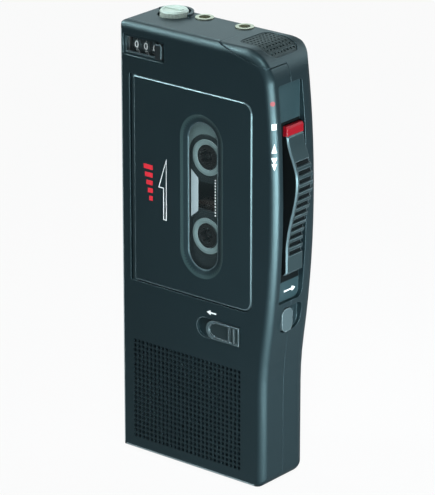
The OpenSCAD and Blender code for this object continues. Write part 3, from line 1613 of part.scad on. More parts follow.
module circuit_board() {
  color("#3d6b45") along_y(board_y, board_back) difference() {
    rect(board_x, board_x + board_w, board_z, board_z + board_h);
    for (z = [board_z + 8, board_z + board_h - 8]) translate([board_x + 2, z]) circle(0.9);
  }
}

module board_components() {
  front = board_y;
  color("#2a2c2e") {
    for (z = [14, 34]) block(board_x + 4, board_x + 11, front - 1.6, front, board_z + z, board_z + z + 9);
    for (z = [8, 27, 47]) rod_y(1.8, front - 2.8, front, board_x + 14.4, board_z + z);
    for (z = [26, 29, 46, 49, 52])
      block(board_x + 4, board_x + 8, front - 0.8, front, board_z + z, board_z + z + 1.6);
  }
}

module battery_cells() {
  color("#8a8f92") for (side = [-1, 1])
    translate([side * cell_x, cell_y, cell_z + (side < 0 ? 0 : cell_nub_l + cell_l)])
      rotate([side < 0 ? 0 : 180, 0, 0]) rotate_extrude()
        polygon([[0, 0], [cell_r - 0.6, 0], [cell_r, 0.6], [cell_r, cell_l - 0.6], [cell_r - 0.6, cell_l],
          [cell_nub_r, cell_l], [cell_nub_r, cell_l + cell_nub_l], [0, cell_l + cell_nub_l]]);
}

// Sheet contacts: a bridge above, a sprung plate under each cell
module battery_contacts() {
  plate_z = cell_z + cell_l + cell_nub_l + inner_gap;
  color(steel_colour) {
    block(-cell_x - 3, cell_x + 3, cell_y - 3, cell_y + 3, bay_top - contact_t, bay_top);
    for (side = [-1, 1]) {
      rod_z(3, plate_z, bay_top - contact_t + eps, side * cell_x, cell_y);
      block(side * cell_x - 3, side * cell_x + 3, cell_y - 3, cell_y + 3, wall, wall + contact_t);
      rod_z(3, wall + contact_t - eps, cell_z - inner_gap, side * cell_x, cell_y);
    }
  }
}

module battery_lid() {
  tongue_z = (lid_top + lid_foot) / 2 - lid_tongue_l / 2;
  tongue_y = (in_rear + rear_y) / 2;
  color(rear_colour) {
    difference() {
      intersection() {
        body_solid();
        block(-lid_w / 2, lid_w / 2, in_rear + insert_gap, far, lid_foot, lid_top);
      }
      for (i = [0 : 4])
        block(-6, 6, rear_y - 0.4, far, lid_top - 6 - i * 1.8, lid_top - 5.2 - i * 1.8);
    }
    for (side = [-1, 1])
      block(min(side * (lid_w / 2 - eps), side * (lid_w / 2 + lid_tongue_w)),
        max(side * (lid_w / 2 - eps), side * (lid_w / 2 + lid_tongue_w)),
        tongue_y - lid_tongue_t / 2, tongue_y + lid_tongue_t / 2, tongue_z, tongue_z + lid_tongue_l);
  }
}

module case_screws() {
  top = rear_y - screw_sink;
  color("#26292b") for (s = screws) difference() {
    union() {
      rod_y(screw_head_r, top - screw_head_h, top, s[0], s[1]);
      rod_y(screw_r - insert_gap / 2, top - screw_head_h - screw_l, top - screw_head_h + eps, s[0], s[1]);
    }
    for (w = [[1, 0.2], [0.2, 1]])
      block(s[0] - w[0], s[0] + w[0], top - 0.4, far, s[1] - w[1], s[1] + w[1]);
  }
}

module head_plate() {
  color(steel_colour) {
    along_y(head_plate_y, head_plate_y1)
      round_rect(head_plate_x, head_plate_x1, cas_cz - head_plate_down, cas_cz + head_plate_up, [1, 1, 1, 1]);
    for (z = head_pins) rod_y(head_pin_r, head_plate_y1 - eps, deck_back + 0.2, head_pin_x, z);
  }
}

// Shielded head: a block whose nose is curved towards the tape
module play_head() {
  nose = 4.2;
  color("#c5c8ca") along_y(cas_y + 0.6, head_plate_y) {
    intersection() {
      rect(head_tip - head_l, head_tip, cas_cz - head_h / 2, cas_cz + head_h / 2);
      translate([head_tip - nose, cas_cz]) circle(nose);
    }
  }
}

module erase_head() {
  z = cas_cz - erase_down;
  color("#5a5d60") along_y(cas_y + 1, head_plate_y) {
    rect(head_tip - head_l, head_tip - 0.8, z - erase_h / 2, z + erase_h / 2);
    rect(head_tip - 1, head_tip - 0.1, z - erase_h / 2 + 0.7, z + erase_h / 2 - 0.7);
  }
}

// Bent arm that carries the pinch roller between two ears
module pinch_arm() {
  back = pinch_x - pinch_r - 0.4;
  low = cas_y + 0.5;
  high = head_plate_y;
  color(steel_colour) {
    for (y = [[low, low + pinch_arm_t], [high - pinch_arm_t, high]])
      along_y(y[0], y[1]) {
        rect(back - pinch_arm_t, pinch_x, capstan_z - 1.8, capstan_z + 1.8);
        translate([pinch_x, capstan_z]) circle(1.8);
      }
    block(back - pinch_arm_t, back, low, high, capstan_z - 1.8, capstan_z + 1.8);
    rod_y(pinch_pin_r, low + eps, high - eps, pinch_x, capstan_z);
  }
}

module pinch_roller() {
  color("#1f2021") difference() {
    rod_y(pinch_r, cas_y + 0.5 + pinch_arm_t + 0.15, head_plate_y - pinch_arm_t - 0.15, pinch_x, capstan_z);
    rod_y(pinch_pin_r + shaft_gap, -far, far, pinch_x, capstan_z);
  }
}

front_shell();
rear_shell();
mic_grille();
mic_capsule();
counter_window();
counter_frame();
counter_shaft();
speaker_frame();
speaker_cone();
speaker_magnet();
deck_plate();
capstan_bearing();
motor();
drive_belt();
circuit_board();
board_components();
top_board();
ear_jack();
mic_jack();
volume_pot();
battery_cells();
battery_contacts();
case_screws();
track_plate();
hinge_pin();
cassette_front();
cassette_rear();
guide_roller_upper();
guide_roller_lower();
tape_run();
cassette_door();
door_window();
door_spring();
control_slider();
record_cap();
lock_knob();
eject_knob();
eject_latch();
volume_dial();
reset_button();
battery_lid();
head_plate();
play_head();
erase_head();
pinch_arm();
pinch_roller();
flywheel();
capstan();
motor_pulley();
idler_gear();
takeup_spindle();
takeup_hub();
takeup_tape();
supply_spindle();
supply_hub();
supply_tape();
digit_wheel_units();
digit_wheel_tens();
digit_wheel_hundreds();
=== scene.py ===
import math

import bmesh
import bpy
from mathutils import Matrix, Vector


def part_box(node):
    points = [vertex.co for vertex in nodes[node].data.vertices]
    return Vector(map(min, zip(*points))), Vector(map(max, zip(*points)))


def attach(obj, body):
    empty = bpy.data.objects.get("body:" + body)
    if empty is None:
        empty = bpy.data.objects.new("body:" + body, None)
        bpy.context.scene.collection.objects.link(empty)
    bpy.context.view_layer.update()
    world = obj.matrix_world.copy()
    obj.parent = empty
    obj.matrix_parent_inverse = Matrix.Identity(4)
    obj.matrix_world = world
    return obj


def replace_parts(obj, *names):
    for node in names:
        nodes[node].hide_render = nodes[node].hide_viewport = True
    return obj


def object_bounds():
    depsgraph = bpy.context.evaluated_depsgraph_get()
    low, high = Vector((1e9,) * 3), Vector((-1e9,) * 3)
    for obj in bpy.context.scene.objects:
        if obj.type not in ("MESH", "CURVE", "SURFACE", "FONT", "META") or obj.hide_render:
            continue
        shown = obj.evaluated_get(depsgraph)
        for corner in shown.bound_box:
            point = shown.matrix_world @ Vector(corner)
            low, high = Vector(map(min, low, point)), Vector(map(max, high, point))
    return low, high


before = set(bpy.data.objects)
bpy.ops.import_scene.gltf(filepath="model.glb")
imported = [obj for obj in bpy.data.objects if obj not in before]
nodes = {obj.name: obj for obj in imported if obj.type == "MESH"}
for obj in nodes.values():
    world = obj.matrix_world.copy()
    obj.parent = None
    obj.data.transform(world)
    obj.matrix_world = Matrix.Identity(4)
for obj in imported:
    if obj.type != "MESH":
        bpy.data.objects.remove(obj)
cad_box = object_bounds()

# Studio table: one wide sheet of pale matt paper that runs out of the picture on all sides.
# The recorder stands on it. It shows nearly white and still keeps the recorder's soft shadow.
TABLE_HALF, TABLE_DROP = 4.0, 0.0002
TABLE_PALE = (0.25, 0.26, 0.26, 1.0)
TABLE_ROUGH, TABLE_GLOSS = 0.9, 0.1
TABLE_GLOW = 1.05
GLOW_SHOWN, GLOW_MIRRORED = 0.9, 0.085


class Wire:
    """A socket of one material's node tree that takes part in sums."""

    def __init__(self, tree, socket=None):
        self.tree = tree
        self.socket = socket

    def put(self, kind, settings=None, values=None, out=0):
        """Adds a node: first its settings, then the values or links of its sockets."""
        node = self.tree.nodes.new(kind)
        for name, setting in (settings or {}).items():
            setattr(node, name, setting)
        for name, value in (values or {}).items():
            if isinstance(value, Wire):
                self.tree.links.new(value.socket, node.inputs[name])
            else:
                node.inputs[name].default_value = value
        return Wire(self.tree, node.outputs[out])

    def maths(self, operation, a, b):
        return self.put("ShaderNodeMath", {"operation": operation}, {0: a, 1: b})

    def __add__(self, other):
        return self.maths("ADD", self, other)

    def __sub__(self, other):
        return self.maths("SUBTRACT", self, other)

    def __rsub__(self, other):
        return self.maths("SUBTRACT", other, self)

    def __mul__(self, other):
        return self.maths("MULTIPLY", self, other)

    __radd__ = __add__
    __rmul__ = __mul__

    def feed(self, node, socket):
        self.tree.links.new(self.socket, node.inputs[socket])


def bare_material(name):
    """A new material, a wire that puts nodes into it, and its shader."""
    material = bpy.data.materials.new(name)
    material.use_nodes = True
    tree = material.node_tree
    return material, Wire(tree), tree.nodes["Principled BSDF"]


def mesh_piece(name, bm, material):
    bmesh.ops.recalc_face_normals(bm, faces=bm.faces)
    mesh = bpy.data.meshes.new(name)
    bm.to_mesh(mesh)
    bm.free()
    mesh.materials.append(material)
    piece = bpy.data.objects.new(name, mesh)
    bpy.context.scene.collection.objects.link(piece)
    return piece


paper, wire, shader = bare_material("pale_paper")
shader.inputs["Base Color"].default_value = TABLE_PALE
shader.inputs["Roughness"].default_value = TABLE_ROUGH
shader.inputs["Specular IOR Level"].default_value = TABLE_GLOSS
in_view = wire.put("ShaderNodeLightPath", out="Is Camera Ray")
in_gloss = wire.put("ShaderNodeLightPath", out="Is Glossy Ray")
in_glass = wire.put("ShaderNodeLightPath", out="Is Transmission Ray")
glow_share = (in_view + in_glass) * GLOW_SHOWN + in_gloss * GLOW_MIRRORED
glow = wire.put("ShaderNodeEmission", values={"Color": (1, 1, 1, 1), "Strength": TABLE_GLOW})
lit = Wire(paper.node_tree, shader.outputs[0])
surface = wire.put("ShaderNodeMixShader", values={0: glow_share, 1: lit, 2: glow})
surface.feed(paper.node_tree.nodes["Material Output"], "Surface")
bm = bmesh.new()
bmesh.ops.create_grid(bm, x_segments=1, y_segments=1, size=TABLE_HALF)
table = mesh_piece("table", bm, paper)
table.location.z = cad_box[0].z - TABLE_DROP

# Soft light: a dim pale room and ten softboxes on stands. Low strips at the right draw the
# bright line down the rounded front edge, narrow boxes high up light the top and its front
# rounding, and wide ones behind light the microphone corner and the back.
ROOM_SHADE, ROOM_STRENGTH = (0.86, 0.96, 1.0, 1.0), 0.16
DAY_LIGHT, TOP_LIGHT = (0.86, 0.96, 1.0), (0.86, 0.97, 1.0)
CORNER_LIGHT, BACK_LIGHT = (0.82, 0.96, 1.0), (0.76, 0.96, 1.0)
EDGE_AIM, TOP_AIM, BROW_AIM = (0.03, 0, 0.06), (0.01, 0.02, 0.14), (0.015, 0, 0.135)
STRIP_SPREAD, TOP_SPREAD, CORNER_SPREAD, REAR_SPREAD, BACK_SPREAD = 90, 14, 40, 60, 180
world = bpy.data.worlds.new("pale_room")
world.use_nodes = True
bpy.context.scene.world = world
room = world.node_tree.nodes["Background"]
room.inputs["Color"].default_value = ROOM_SHADE
room.inputs["Strength"].default_value = ROOM_STRENGTH


def softbox(name, place, aim, size, watts, shade, spread):
    lamp = bpy.data.lights.new(name, "AREA")
    lamp.shape = "RECTANGLE"
    lamp.size, lamp.size_y = size
    lamp.energy = watts
    lamp.spread = math.radians(spread)
    lamp.color = shade
    holder = bpy.data.objects.new(name, lamp)
    holder.location = place
    holder.rotation_euler = (Vector(aim) - Vector(place)).to_track_quat("-Z", "Y").to_euler()
    bpy.context.scene.collection.objects.link(holder)


softbox("strip_front", (0.19, -0.22, 0.03), EDGE_AIM, (0.16, 0.06), 0.13, DAY_LIGHT, STRIP_SPREAD)
softbox("strip_right", (0.26, -0.13, 0.035), EDGE_AIM, (0.16, 0.07), 0.25, DAY_LIGHT, STRIP_SPREAD)
softbox("strip_side", (0.29, -0.04, 0.035), EDGE_AIM, (0.12, 0.07), 0.30, DAY_LIGHT, STRIP_SPREAD)
softbox("softbox_top", (-0.6, -0.35, 0.86), TOP_AIM, (0.2, 0.2), 0.085, TOP_LIGHT, TOP_SPREAD)
softbox("softbox_top_rear", (-0.65, 0.06, 1.0), TOP_AIM, (0.24, 0.24), 0.045, TOP_LIGHT, TOP_SPREAD)
softbox("softbox_top_front", (-0.64, -0.71, 0.62), TOP_AIM, (0.2, 0.2), 0.03, TOP_LIGHT, TOP_SPREAD)
softbox("softbox_front", (0.38, -0.44, 1.0), BROW_AIM, (0.2, 0.2), 0.085, TOP_LIGHT, TOP_SPREAD)
softbox("softbox_corner", (0.55, 0.80, 0.62), (0.025, 0, 0.13), (0.4, 0.4), 0.07, CORNER_LIGHT, CORNER_SPREAD)
softbox("softbox_rear", (0.1, 0.9, 0.4), (0, 0.011, 0.07), (0.5, 0.5), 0.5, DAY_LIGHT, REAR_SPREAD)
softbox("softbox_back", (-0.62, 0.80, 0.50), (0, 0, 0.12), (0.6, 0.4), 1.3, BACK_LIGHT, BACK_SPREAD)

# Camera: a long lens on a stand, a little above the recorder and to its right, at the
# photograph's height and angle. The lens is given in pixels of the photograph.
PHOTO_HIGH_PX, LENS_PX = 495, 3500
SENSOR = 36.0
AIM = Vector((0.0012, 0.0, 0.07012))
CAMERA_AWAY = 1.0754
CAMERA_NEAR, CAMERA_FAR = 0.05, 20.0
TURN, RISE = math.radians(39.14), math.radians(20.42)
camera = bpy.data.objects.new("camera", bpy.data.cameras.new("camera"))
toward = Vector((math.sin(TURN) * math.cos(RISE), -math.cos(TURN) * math.cos(RISE), math.sin(RISE)))
camera.location = AIM + CAMERA_AWAY * toward
camera.rotation_euler = (-toward).to_track_quat("-Z", "Y").to_euler()
camera.data.sensor_width = SENSOR
camera.data.lens = LENS_PX / PHOTO_HIGH_PX * SENSOR
camera.data.clip_start = CAMERA_NEAR
camera.data.clip_end = CAMERA_FAR
bpy.context.scene.collection.objects.link(camera)
bpy.context.scene.camera = camera
bpy.context.scene.view_settings.view_transform = "Standard"

# Shells: the front and rear halves of the case, injection-moulded in dark blue-grey plastic
# with a fine spark finish and screwed together. The top front edge is one broad rounding that
# runs round the microphone corner into the right edge; the foot's right corner is rounded too.
MM = 0.001
SHELL_DARK = (0.0026, 0.0064, 0.0086, 1.0)
SHELL_LIGHT = (0.0042, 0.0090, 0.0118, 1.0)
SHELL_RUBBED = (0.05, 0.08, 0.095, 1.0)
PLASTIC_TINT = (0.62, 0.95, 1.0, 1.0)
CLOUDS_PER_M, RUBS_PER_M = 110.0, 900.0
RUB_START, RUB_FULL = 0.01, 0.16
GRAIN_RELIEF = 0.3


def corners(node):
    """A CAD node's lowest and highest corner, each as x, y, z in millimetres."""
    return [[round(value / MM, 3) for value in corner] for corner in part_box(node)]


def speckle(wire, place, per_metre, detail):
    return wire.put("ShaderNodeTexNoise", None, {"Vector": place, "Scale": per_metre, "Detail": detail})


def between(wire, share, dark, light):
    """A colour between two; a Mix node has its colours at sockets 6 and 7 and their mix at 2."""
    return wire.put("ShaderNodeMix", {"data_type": "RGBA"}, {0: share, 6: dark, 7: light}, out=2)


def moulded(name, dark, light, rubbed, rough, grain, spark, edge, gloss=0.65):
    """Plastic clouded between two tones, rubbed lighter on edges; grain and edge in metres."""
    material, wire, shader = bare_material(name)
    place = wire.put("ShaderNodeTexCoord", out="Object")
    fine = speckle(wire, place, 1 / grain, 2.0)
    cloud = speckle(wire, place, CLOUDS_PER_M, 4.0)
    handled = speckle(wire, place, RUBS_PER_M, 3.0)
    soft = wire.put("ShaderNodeBevel", {"samples": 4}, {"Radius": edge})
    flat = wire.put("ShaderNodeNewGeometry", out="Normal")
    match = wire.put("ShaderNodeVectorMath", {"operation": "DOT_PRODUCT"}, {0: soft, 1: flat}, out="Value")
    worn = wire.put("ShaderNodeMapRange", None, {"Value": 1 - match, 1: RUB_START, 2: RUB_FULL}) * handled
    tone = between(wire, cloud * 0.7 + fine * 0.3, dark, light)
    between(wire, worn, tone, rubbed).feed(shader, "Base Color")
    (rough - 0.04 + cloud * 0.05 + fine * 0.04 - worn * 0.1).feed(shader, "Roughness")
    relief = {"Strength": spark, "Distance": grain * GRAIN_RELIEF, "Height": fine, "Normal": soft}
    wire.put("ShaderNodeBump", None, relief).feed(shader, "Normal")
    shader.inputs["Specular IOR Level"].default_value = gloss
    shader.inputs["Specular Tint"].default_value = PLASTIC_TINT
    return material


shell_plastic = moulded("spark_plastic", SHELL_DARK, SHELL_LIGHT, SHELL_RUBBED,
                        rough=0.42, grain=0.00024, spark=0.25, edge=0.00022)
(SHELL_LEFT, SHELL_FRONT, _), (_, _, SHELL_TOP) = corners("front_shell")
SHELL_REAR = corners("rear_shell")[1][1]
BROW_LEFT_R, BROW_RIGHT_R, BROW_DEEP = 2.4, 2.7, 3.0
BROW_ARC_R = 11.0
BROW_ARC_X, BROW_ARC_Z = 19.32, SHELL_TOP - BROW_ARC_R
FOOT_LOW_R, FOOT_SIDE_R, FOOT_REAR_R = 1.0, 2.6, 5.0
FOOT_ARC_R, FOOT_RIGHT = 3.2, -SHELL_LEFT
FOOT_ARC_X, FOOT_ARC_Z = FOOT_RIGHT - FOOT_ARC_R, FOOT_ARC_R
CUT_CLEAR = 0.2
FACING_SAME = 0.4
# Each row of cuts: axis, first and last place along it, step.
BROW_CUTS = [
    (0, 9.5, 30.5, 0.6),
    (1, SHELL_FRONT + CUT_CLEAR, SHELL_FRONT + 2.8, 0.3),
    (2, BROW_ARC_Z, SHELL_TOP - CUT_CLEAR, 0.4),
]
FOOT_CUTS = [
    (0, FOOT_ARC_X, FOOT_RIGHT - CUT_CLEAR, 0.3),
    (1, SHELL_FRONT + CUT_CLEAR, SHELL_FRONT + FOOT_SIDE_R, 0.3),
    (1, SHELL_REAR - FOOT_REAR_R, SHELL_REAR - CUT_CLEAR, 0.6),
    (2, CUT_CLEAR, FOOT_ARC_Z, 0.3),
]


def drawn_in(spot, offset, r):
    """A point at an offset from a rounding's centre, drawn in to its radius, and its way out."""
    reach = offset.length
    if reach <= r:
        return None
    way = offset / reach
    return spot - way * (reach - r), way


def brow_eased(spot):
    over = Vector((max(spot.x - BROW_ARC_X, 0.0), 0.0, spot.z - BROW_ARC_Z))
    along = min(max(spot.x / BROW_ARC_X, 0.0), 1.0)
    r = BROW_LEFT_R + (BROW_RIGHT_R - BROW_LEFT_R) * along
    past = SHELL_FRONT - spot.y + r
    above = over.length - BROW_ARC_R + r
    if over.z <= 0 or past <= 0 or above <= 0:
        return None
    return drawn_in(spot, over.normalized() * above + Vector((0, -past, 0)), r)


def foot_eased(spot):
    over = Vector((spot.x - FOOT_ARC_X, 0.0, spot.z - FOOT_ARC_Z))
    if over.x <= 0 or over.z >= 0:
        return None
    share = math.atan2(over.x, -over.z) / (math.pi / 2)
    r, face = FOOT_LOW_R + (FOOT_SIDE_R - FOOT_LOW_R) * share, -1
    past = SHELL_FRONT + r - spot.y
    if past <= 0:
        r, face, past = FOOT_REAR_R, 1, max(spot.y - SHELL_REAR + FOOT_REAR_R, 0.0)
    above = over.length - FOOT_ARC_R + r
    if above <= 0:
        return None
    return drawn_in(spot, over.normalized() * above + Vector((0, face * past, 0)), r)


def in_brow(face):
    return (min(vert.co.y for vert in face.verts) < (SHELL_FRONT + BROW_DEEP) * MM
            and max(vert.co.z for vert in face.verts) > BROW_ARC_Z * MM)


def in_foot(face):
    return (min(vert.co.z for vert in face.verts) < FOOT_ARC_Z * MM
            and max(vert.co.x for vert in face.verts) > FOOT_ARC_X * MM)


def ease(bm, facing, faces, cuts, eased_at):
    """Cuts faces up finely and draws their points in onto a rounding, with its normals."""
    for axis, start, stop, step in cuts:
        for i in range(int((stop - start) / step) + 1):
            spot, way = Vector((0, 0, 0)), Vector((0, 0, 0))
            spot[axis], way[axis] = (start + i * step) * MM, 1
            rims = {edge for face in faces for edge in face.edges}
            dots = {vert for edge in rims for vert in edge.verts}
            geom = faces + list(rims) + list(dots)
            cut = bmesh.ops.bisect_plane(bm, geom=geom, plane_co=spot, plane_no=way)
            faces = [part for part in cut["geom"] if isinstance(part, bmesh.types.BMFace)]
    faces = bmesh.ops.triangulate(bm, faces=faces)["faces"]
    for vert in {vert for face in faces for vert in face.verts}:
        eased = eased_at(vert.co / MM)
        if eased:
            vert.co = eased[0] * MM
            for loop in vert.link_loops:
                if loop[facing].dot(eased[1]) > FACING_SAME:
                    loop[facing] = eased[1]


def eased_shell(name):
    mesh = nodes[name].data
    bm = bmesh.new()
    bm.from_mesh(mesh)
    facing = bm.loops.layers.float_vector.new("facing")
    for face in bm.faces:
        for loop in face.loops:
            loop[facing] = mesh.corner_normals[loop.index].vector
    ease(bm, facing, [face for face in bm.faces if in_brow(face)], BROW_CUTS, brow_eased)
    ease(bm, facing, [face for face in bm.faces if in_foot(face)], FOOT_CUTS, foot_eased)
    skin = bpy.data.meshes.new(name + "_skin")
    bm.to_mesh(skin)
    bm.free()
    ways = [0.0] * (3 * len(skin.loops))
    skin.attributes["facing"].data.foreach_get("vector", ways)
    skin.normals_split_custom_set([ways[i:i + 3] for i in range(0, len(ways), 3)])
    skin.attributes.remove(skin.attributes["facing"])
    skin.materials.clear()
    skin.materials.append(shell_plastic)
    piece = bpy.data.objects.new(name + "_skin", skin)
    bpy.context.scene.collection.objects.link(piece)
    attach(piece, "casing")
    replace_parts(piece, name)
    return piece


front_skin = eased_shell("front_shell")
eased_shell("rear_shell")
bpy.context.view_layer.update()

# Rim highlights: the left and bottom edges of the front shell carry painted highlight, a thin
# grey line that runs along their small moulded roundings.
RIM_STEPS, RIM_LIFT = 6, 0.02
LEFT_R, LEFT_LOW, LEFT_LONG, LEFT_FROM, LEFT_TURN = 0.8, 1.4, 136.2, 3, 40
FOOT_R, FOOT_LEFT, FOOT_LONG, FOOT_FROM, FOOT_TURN = 1.0, -27.0, 51.7, 5, 50
rim_highlight_plastic = moulded("rim_highlight_plastic", (0.17, 0.21, 0.22, 1.0), (0.25, 0.30, 0.31, 1.0),
                         (0.34, 0.38, 0.39, 1.0), rough=0.4, grain=0.0002, spark=0.15, edge=0.0001)


def left_rim(end, share):
    turn, r = math.radians(LEFT_FROM + LEFT_TURN * share), LEFT_R + RIM_LIFT
    return Vector((SHELL_LEFT + LEFT_R - r * math.sin(turn), SHELL_FRONT + LEFT_R - r * math.cos(turn),
                   LEFT_LOW + LEFT_LONG * end))


def foot_rim(end, share):
    turn, r = math.radians(FOOT_FROM + FOOT_TURN * share), FOOT_R + RIM_LIFT
    return Vector((FOOT_LEFT + FOOT_LONG * end, SHELL_FRONT + FOOT_R - r * math.cos(turn),
                   FOOT_R - r * math.sin(turn)))


def strips(bm, lines):
    """Faces between neighbouring lines of points."""
    for line, following in zip(lines, lines[1:]):
        for i in range(len(line) - 1):
            bm.faces.new((line[i], line[i + 1], following[i + 1], following[i]))


def fit(name, bm, material, body):
    """A piece of the scene that moves with a CAD body."""
    piece = mesh_piece(name, bm, material)
    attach(piece, body)
    return piece


# Painted highlight along the shell's left and bottom roundings.
bm = bmesh.new()
for rim_at in (left_rim, foot_rim):
    strips(bm, [[bm.verts.new(rim_at(end, i / RIM_STEPS) * MM) for end in (0, 1)]
                for i in range(RIM_STEPS + 1)])
fit("rim_highlights", bm, rim_highlight_plastic, "casing")

# Printed marks: white and red ink, pad-printed on the front shell. A dot, a square and arrows
# lie on the rounded front edge beside the slider, and a small arrow over the eject knob.
INK_WHITE = (0.80, 0.84, 0.84, 1.0)
INK_DEEP_RED = (0.26, 0.008, 0.014, 1.0)
INK_DOTS_PER_M, INK_THIN, INK_RELIEF = 5200.0, 0.72, 0.00003
INK_LIFT, INK_ROOT = 0.02, -0.05
EDGE_X, EDGE_Y = 31.2, -10.2
EDGE_ACROSS, EDGE_OUT = Vector((0.62, 0.79, 0)), Vector((0.79, -0.62, 0))
EDGE_START, EDGE_STEP = 6.0, 0.2
SQUARE_LOW, SQUARE_HIGH, SQUARE_HALF = 116.9, 118.8, 0.75
DOT_U, DOT_Z, DOT_R = -0.35, 124.9, 0.75
UP_ARROW = [(-0.8, 109.8), (0.8, 109.8), (0.05, 112.8)]
DOWN_ARROW = [(-0.8, 108.4), (-0.8, 108.0), (0.0, 106.2), (0.8, 108.0), (0.8, 108.4)]
CHEVRON = [(-0.8, 106.5), (0.0, 104.3), (0.8, 106.5), (0.3, 106.5), (0.0, 105.8), (-0.3, 106.5)]
EJECT_ARROW_X, EJECT_ARROW_Z = 5.9, 53.5


def ink(name, shade):
    material, wire, shader = bare_material(name)
    place = wire.put("ShaderNodeTexCoord", out="Object")
    dots = speckle(wire, place, INK_DOTS_PER_M, 2.0)
    thin = tuple(value * INK_THIN for value in shade[:3]) + (1.0,)
    between(wire, dots, thin, shade).feed(shader, "Base Color")
    (0.42 + dots * 0.18).feed(shader, "Roughness")
    relief = {"Strength": 0.2, "Distance": INK_RELIEF, "Height": dots}
    wire.put("ShaderNodeBump", None, relief).feed(shader, "Normal")
    return material


def decal(bm, loop, place, step):
    """A flat outline cut into small faces and laid on a curved skin."""
    flat = bmesh.new()
    flat.faces.new([flat.verts.new((u, v, 0)) for u, v in loop])
    for axis in (0, 1):
        way = Vector((1 - axis, axis, 0))
        first, last = min(point[axis] for point in loop), max(point[axis] for point in loop)
        for i in range(1, math.ceil((last - first) / step)):
            geom = flat.verts[:] + flat.edges[:] + flat.faces[:]
            bmesh.ops.bisect_plane(flat, geom=geom, plane_co=way * (first + i * step), plane_no=way)
    bmesh.ops.triangulate(flat, faces=flat.faces[:])
    spots = {vert: bm.verts.new(place(vert.co.x, vert.co.y, INK_LIFT) * MM) for vert in flat.verts}
    for face in flat.faces:
        bm.faces.new([spots[vert] for vert in face.verts])
    flat.free()


def stamp(bm, loop, place):
    """An outline as a thin slab, rooted a little under the face that it lies on."""
    tops = [bm.verts.new(place(u, v, INK_LIFT) * MM) for u, v in loop]
    roots = [bm.verts.new(place(u, v, INK_ROOT) * MM) for u, v in loop]
    bm.faces.new(tops)
    bm.faces.new(roots[::-1])
    strips(bm, [tops + tops[:1], roots + roots[:1]])


def stamped(name, loops, place, material, body):
    bm = bmesh.new()
    for loop in loops:
        stamp(bm, loop, place)
    return fit(name, bm, material, body)


def arc(u, v, r, start, turn, count):
    angles = [math.radians(start + turn * i / count) for i in range(count + 1)]
    return [(u + r * math.cos(angle), v + r * math.sin(angle)) for angle in angles]


def circle(u, v, r, count):
    return arc(u, v, r, 0, 360, count)[:-1]


def bar(left, right, low, high):
    return [(left, low), (right, low), (right, high), (left, high)]


def arrow(tip, v, length, head, half, shaft):
    back, end = tip + math.copysign(head, length), tip + length
    return [(tip, v), (back, v - half), (back, v - shaft), (end, v - shaft),
            (end, v + shaft), (back, v + shaft), (back, v + half)]


def on_front(y):
    return lambda u, v, h: Vector((u, y - h, v))


def on_edge(u, v, h):
    start = Vector((EDGE_X, EDGE_Y, v)) + EDGE_ACROSS * u + EDGE_OUT * EDGE_START
    _, spot, normal, _ = front_skin.ray_cast(start * MM, -EDGE_OUT)
    return spot / MM + normal * h


white_ink = ink("white_ink", INK_WHITE)
bm = bmesh.new()
for mark in (bar(-SQUARE_HALF, SQUARE_HALF, SQUARE_LOW, SQUARE_HIGH), UP_ARROW, DOWN_ARROW, CHEVRON):
    decal(bm, mark, on_edge, EDGE_STEP)
fit("edge_marks", bm, white_ink, "casing")
bm = bmesh.new()
decal(bm, circle(DOT_U, DOT_Z, DOT_R, 24), on_edge, EDGE_STEP)
fit("record_mark", bm, ink("deep_red_ink", INK_DEEP_RED), "casing")
eject_arrow = arrow(EJECT_ARROW_X, EJECT_ARROW_Z, length=3.7, head=1.5, half=0.75, shaft=0.2)
stamped("eject_mark", [eject_arrow], on_front(SHELL_FRONT), white_ink, "casing")

# Loudspeaker: a paper cone in a pressed steel frame with a ferrite magnet, clamped behind the
# front shell. The grille before it is rows of round holes moulded through the shell, each ringed
# with a little painted shade round its rim.
GRILLE_PITCH, GRILLE_COLS, GRILLE_ROWS = 1.6, 27, 21
HOLE_R, HOLE_SHADE_R, HOLE_SIDES = 0.47, 0.66, 14
STREAKS = (300.0, 6000.0, 6000.0)
DULL_PER_M, METAL_DEEP, METAL_RELIEF = 240.0, 0.8, 0.00004


def finish(material, *names):
    """Gives CAD nodes their material."""
    for name in names:
        mesh = nodes[name].data
        mesh.materials.clear()
        mesh.materials.append(material)


def metal(name, shade, rough):
    material, wire, shader = bare_material(name)
    place = wire.put("ShaderNodeTexCoord", out="Object")
    brushed = wire.put("ShaderNodeMapping", None, {"Vector": place, "Scale": STREAKS})
    streak = speckle(wire, brushed, 1.0, 3.0)
    dull = speckle(wire, place, DULL_PER_M, 4.0)
    deep = tuple(value * METAL_DEEP for value in shade[:3]) + (1.0,)
    between(wire, dull, deep, shade).feed(shader, "Base Color")
    (rough - 0.06 + streak * 0.12 + dull * 0.06).feed(shader, "Roughness")
    relief = {"Strength": 0.08, "Distance": METAL_RELIEF, "Height": streak}
    wire.put("ShaderNodeBump", None, relief).feed(shader, "Normal")
    shader.inputs["Metallic"].default_value = 1.0
    return material


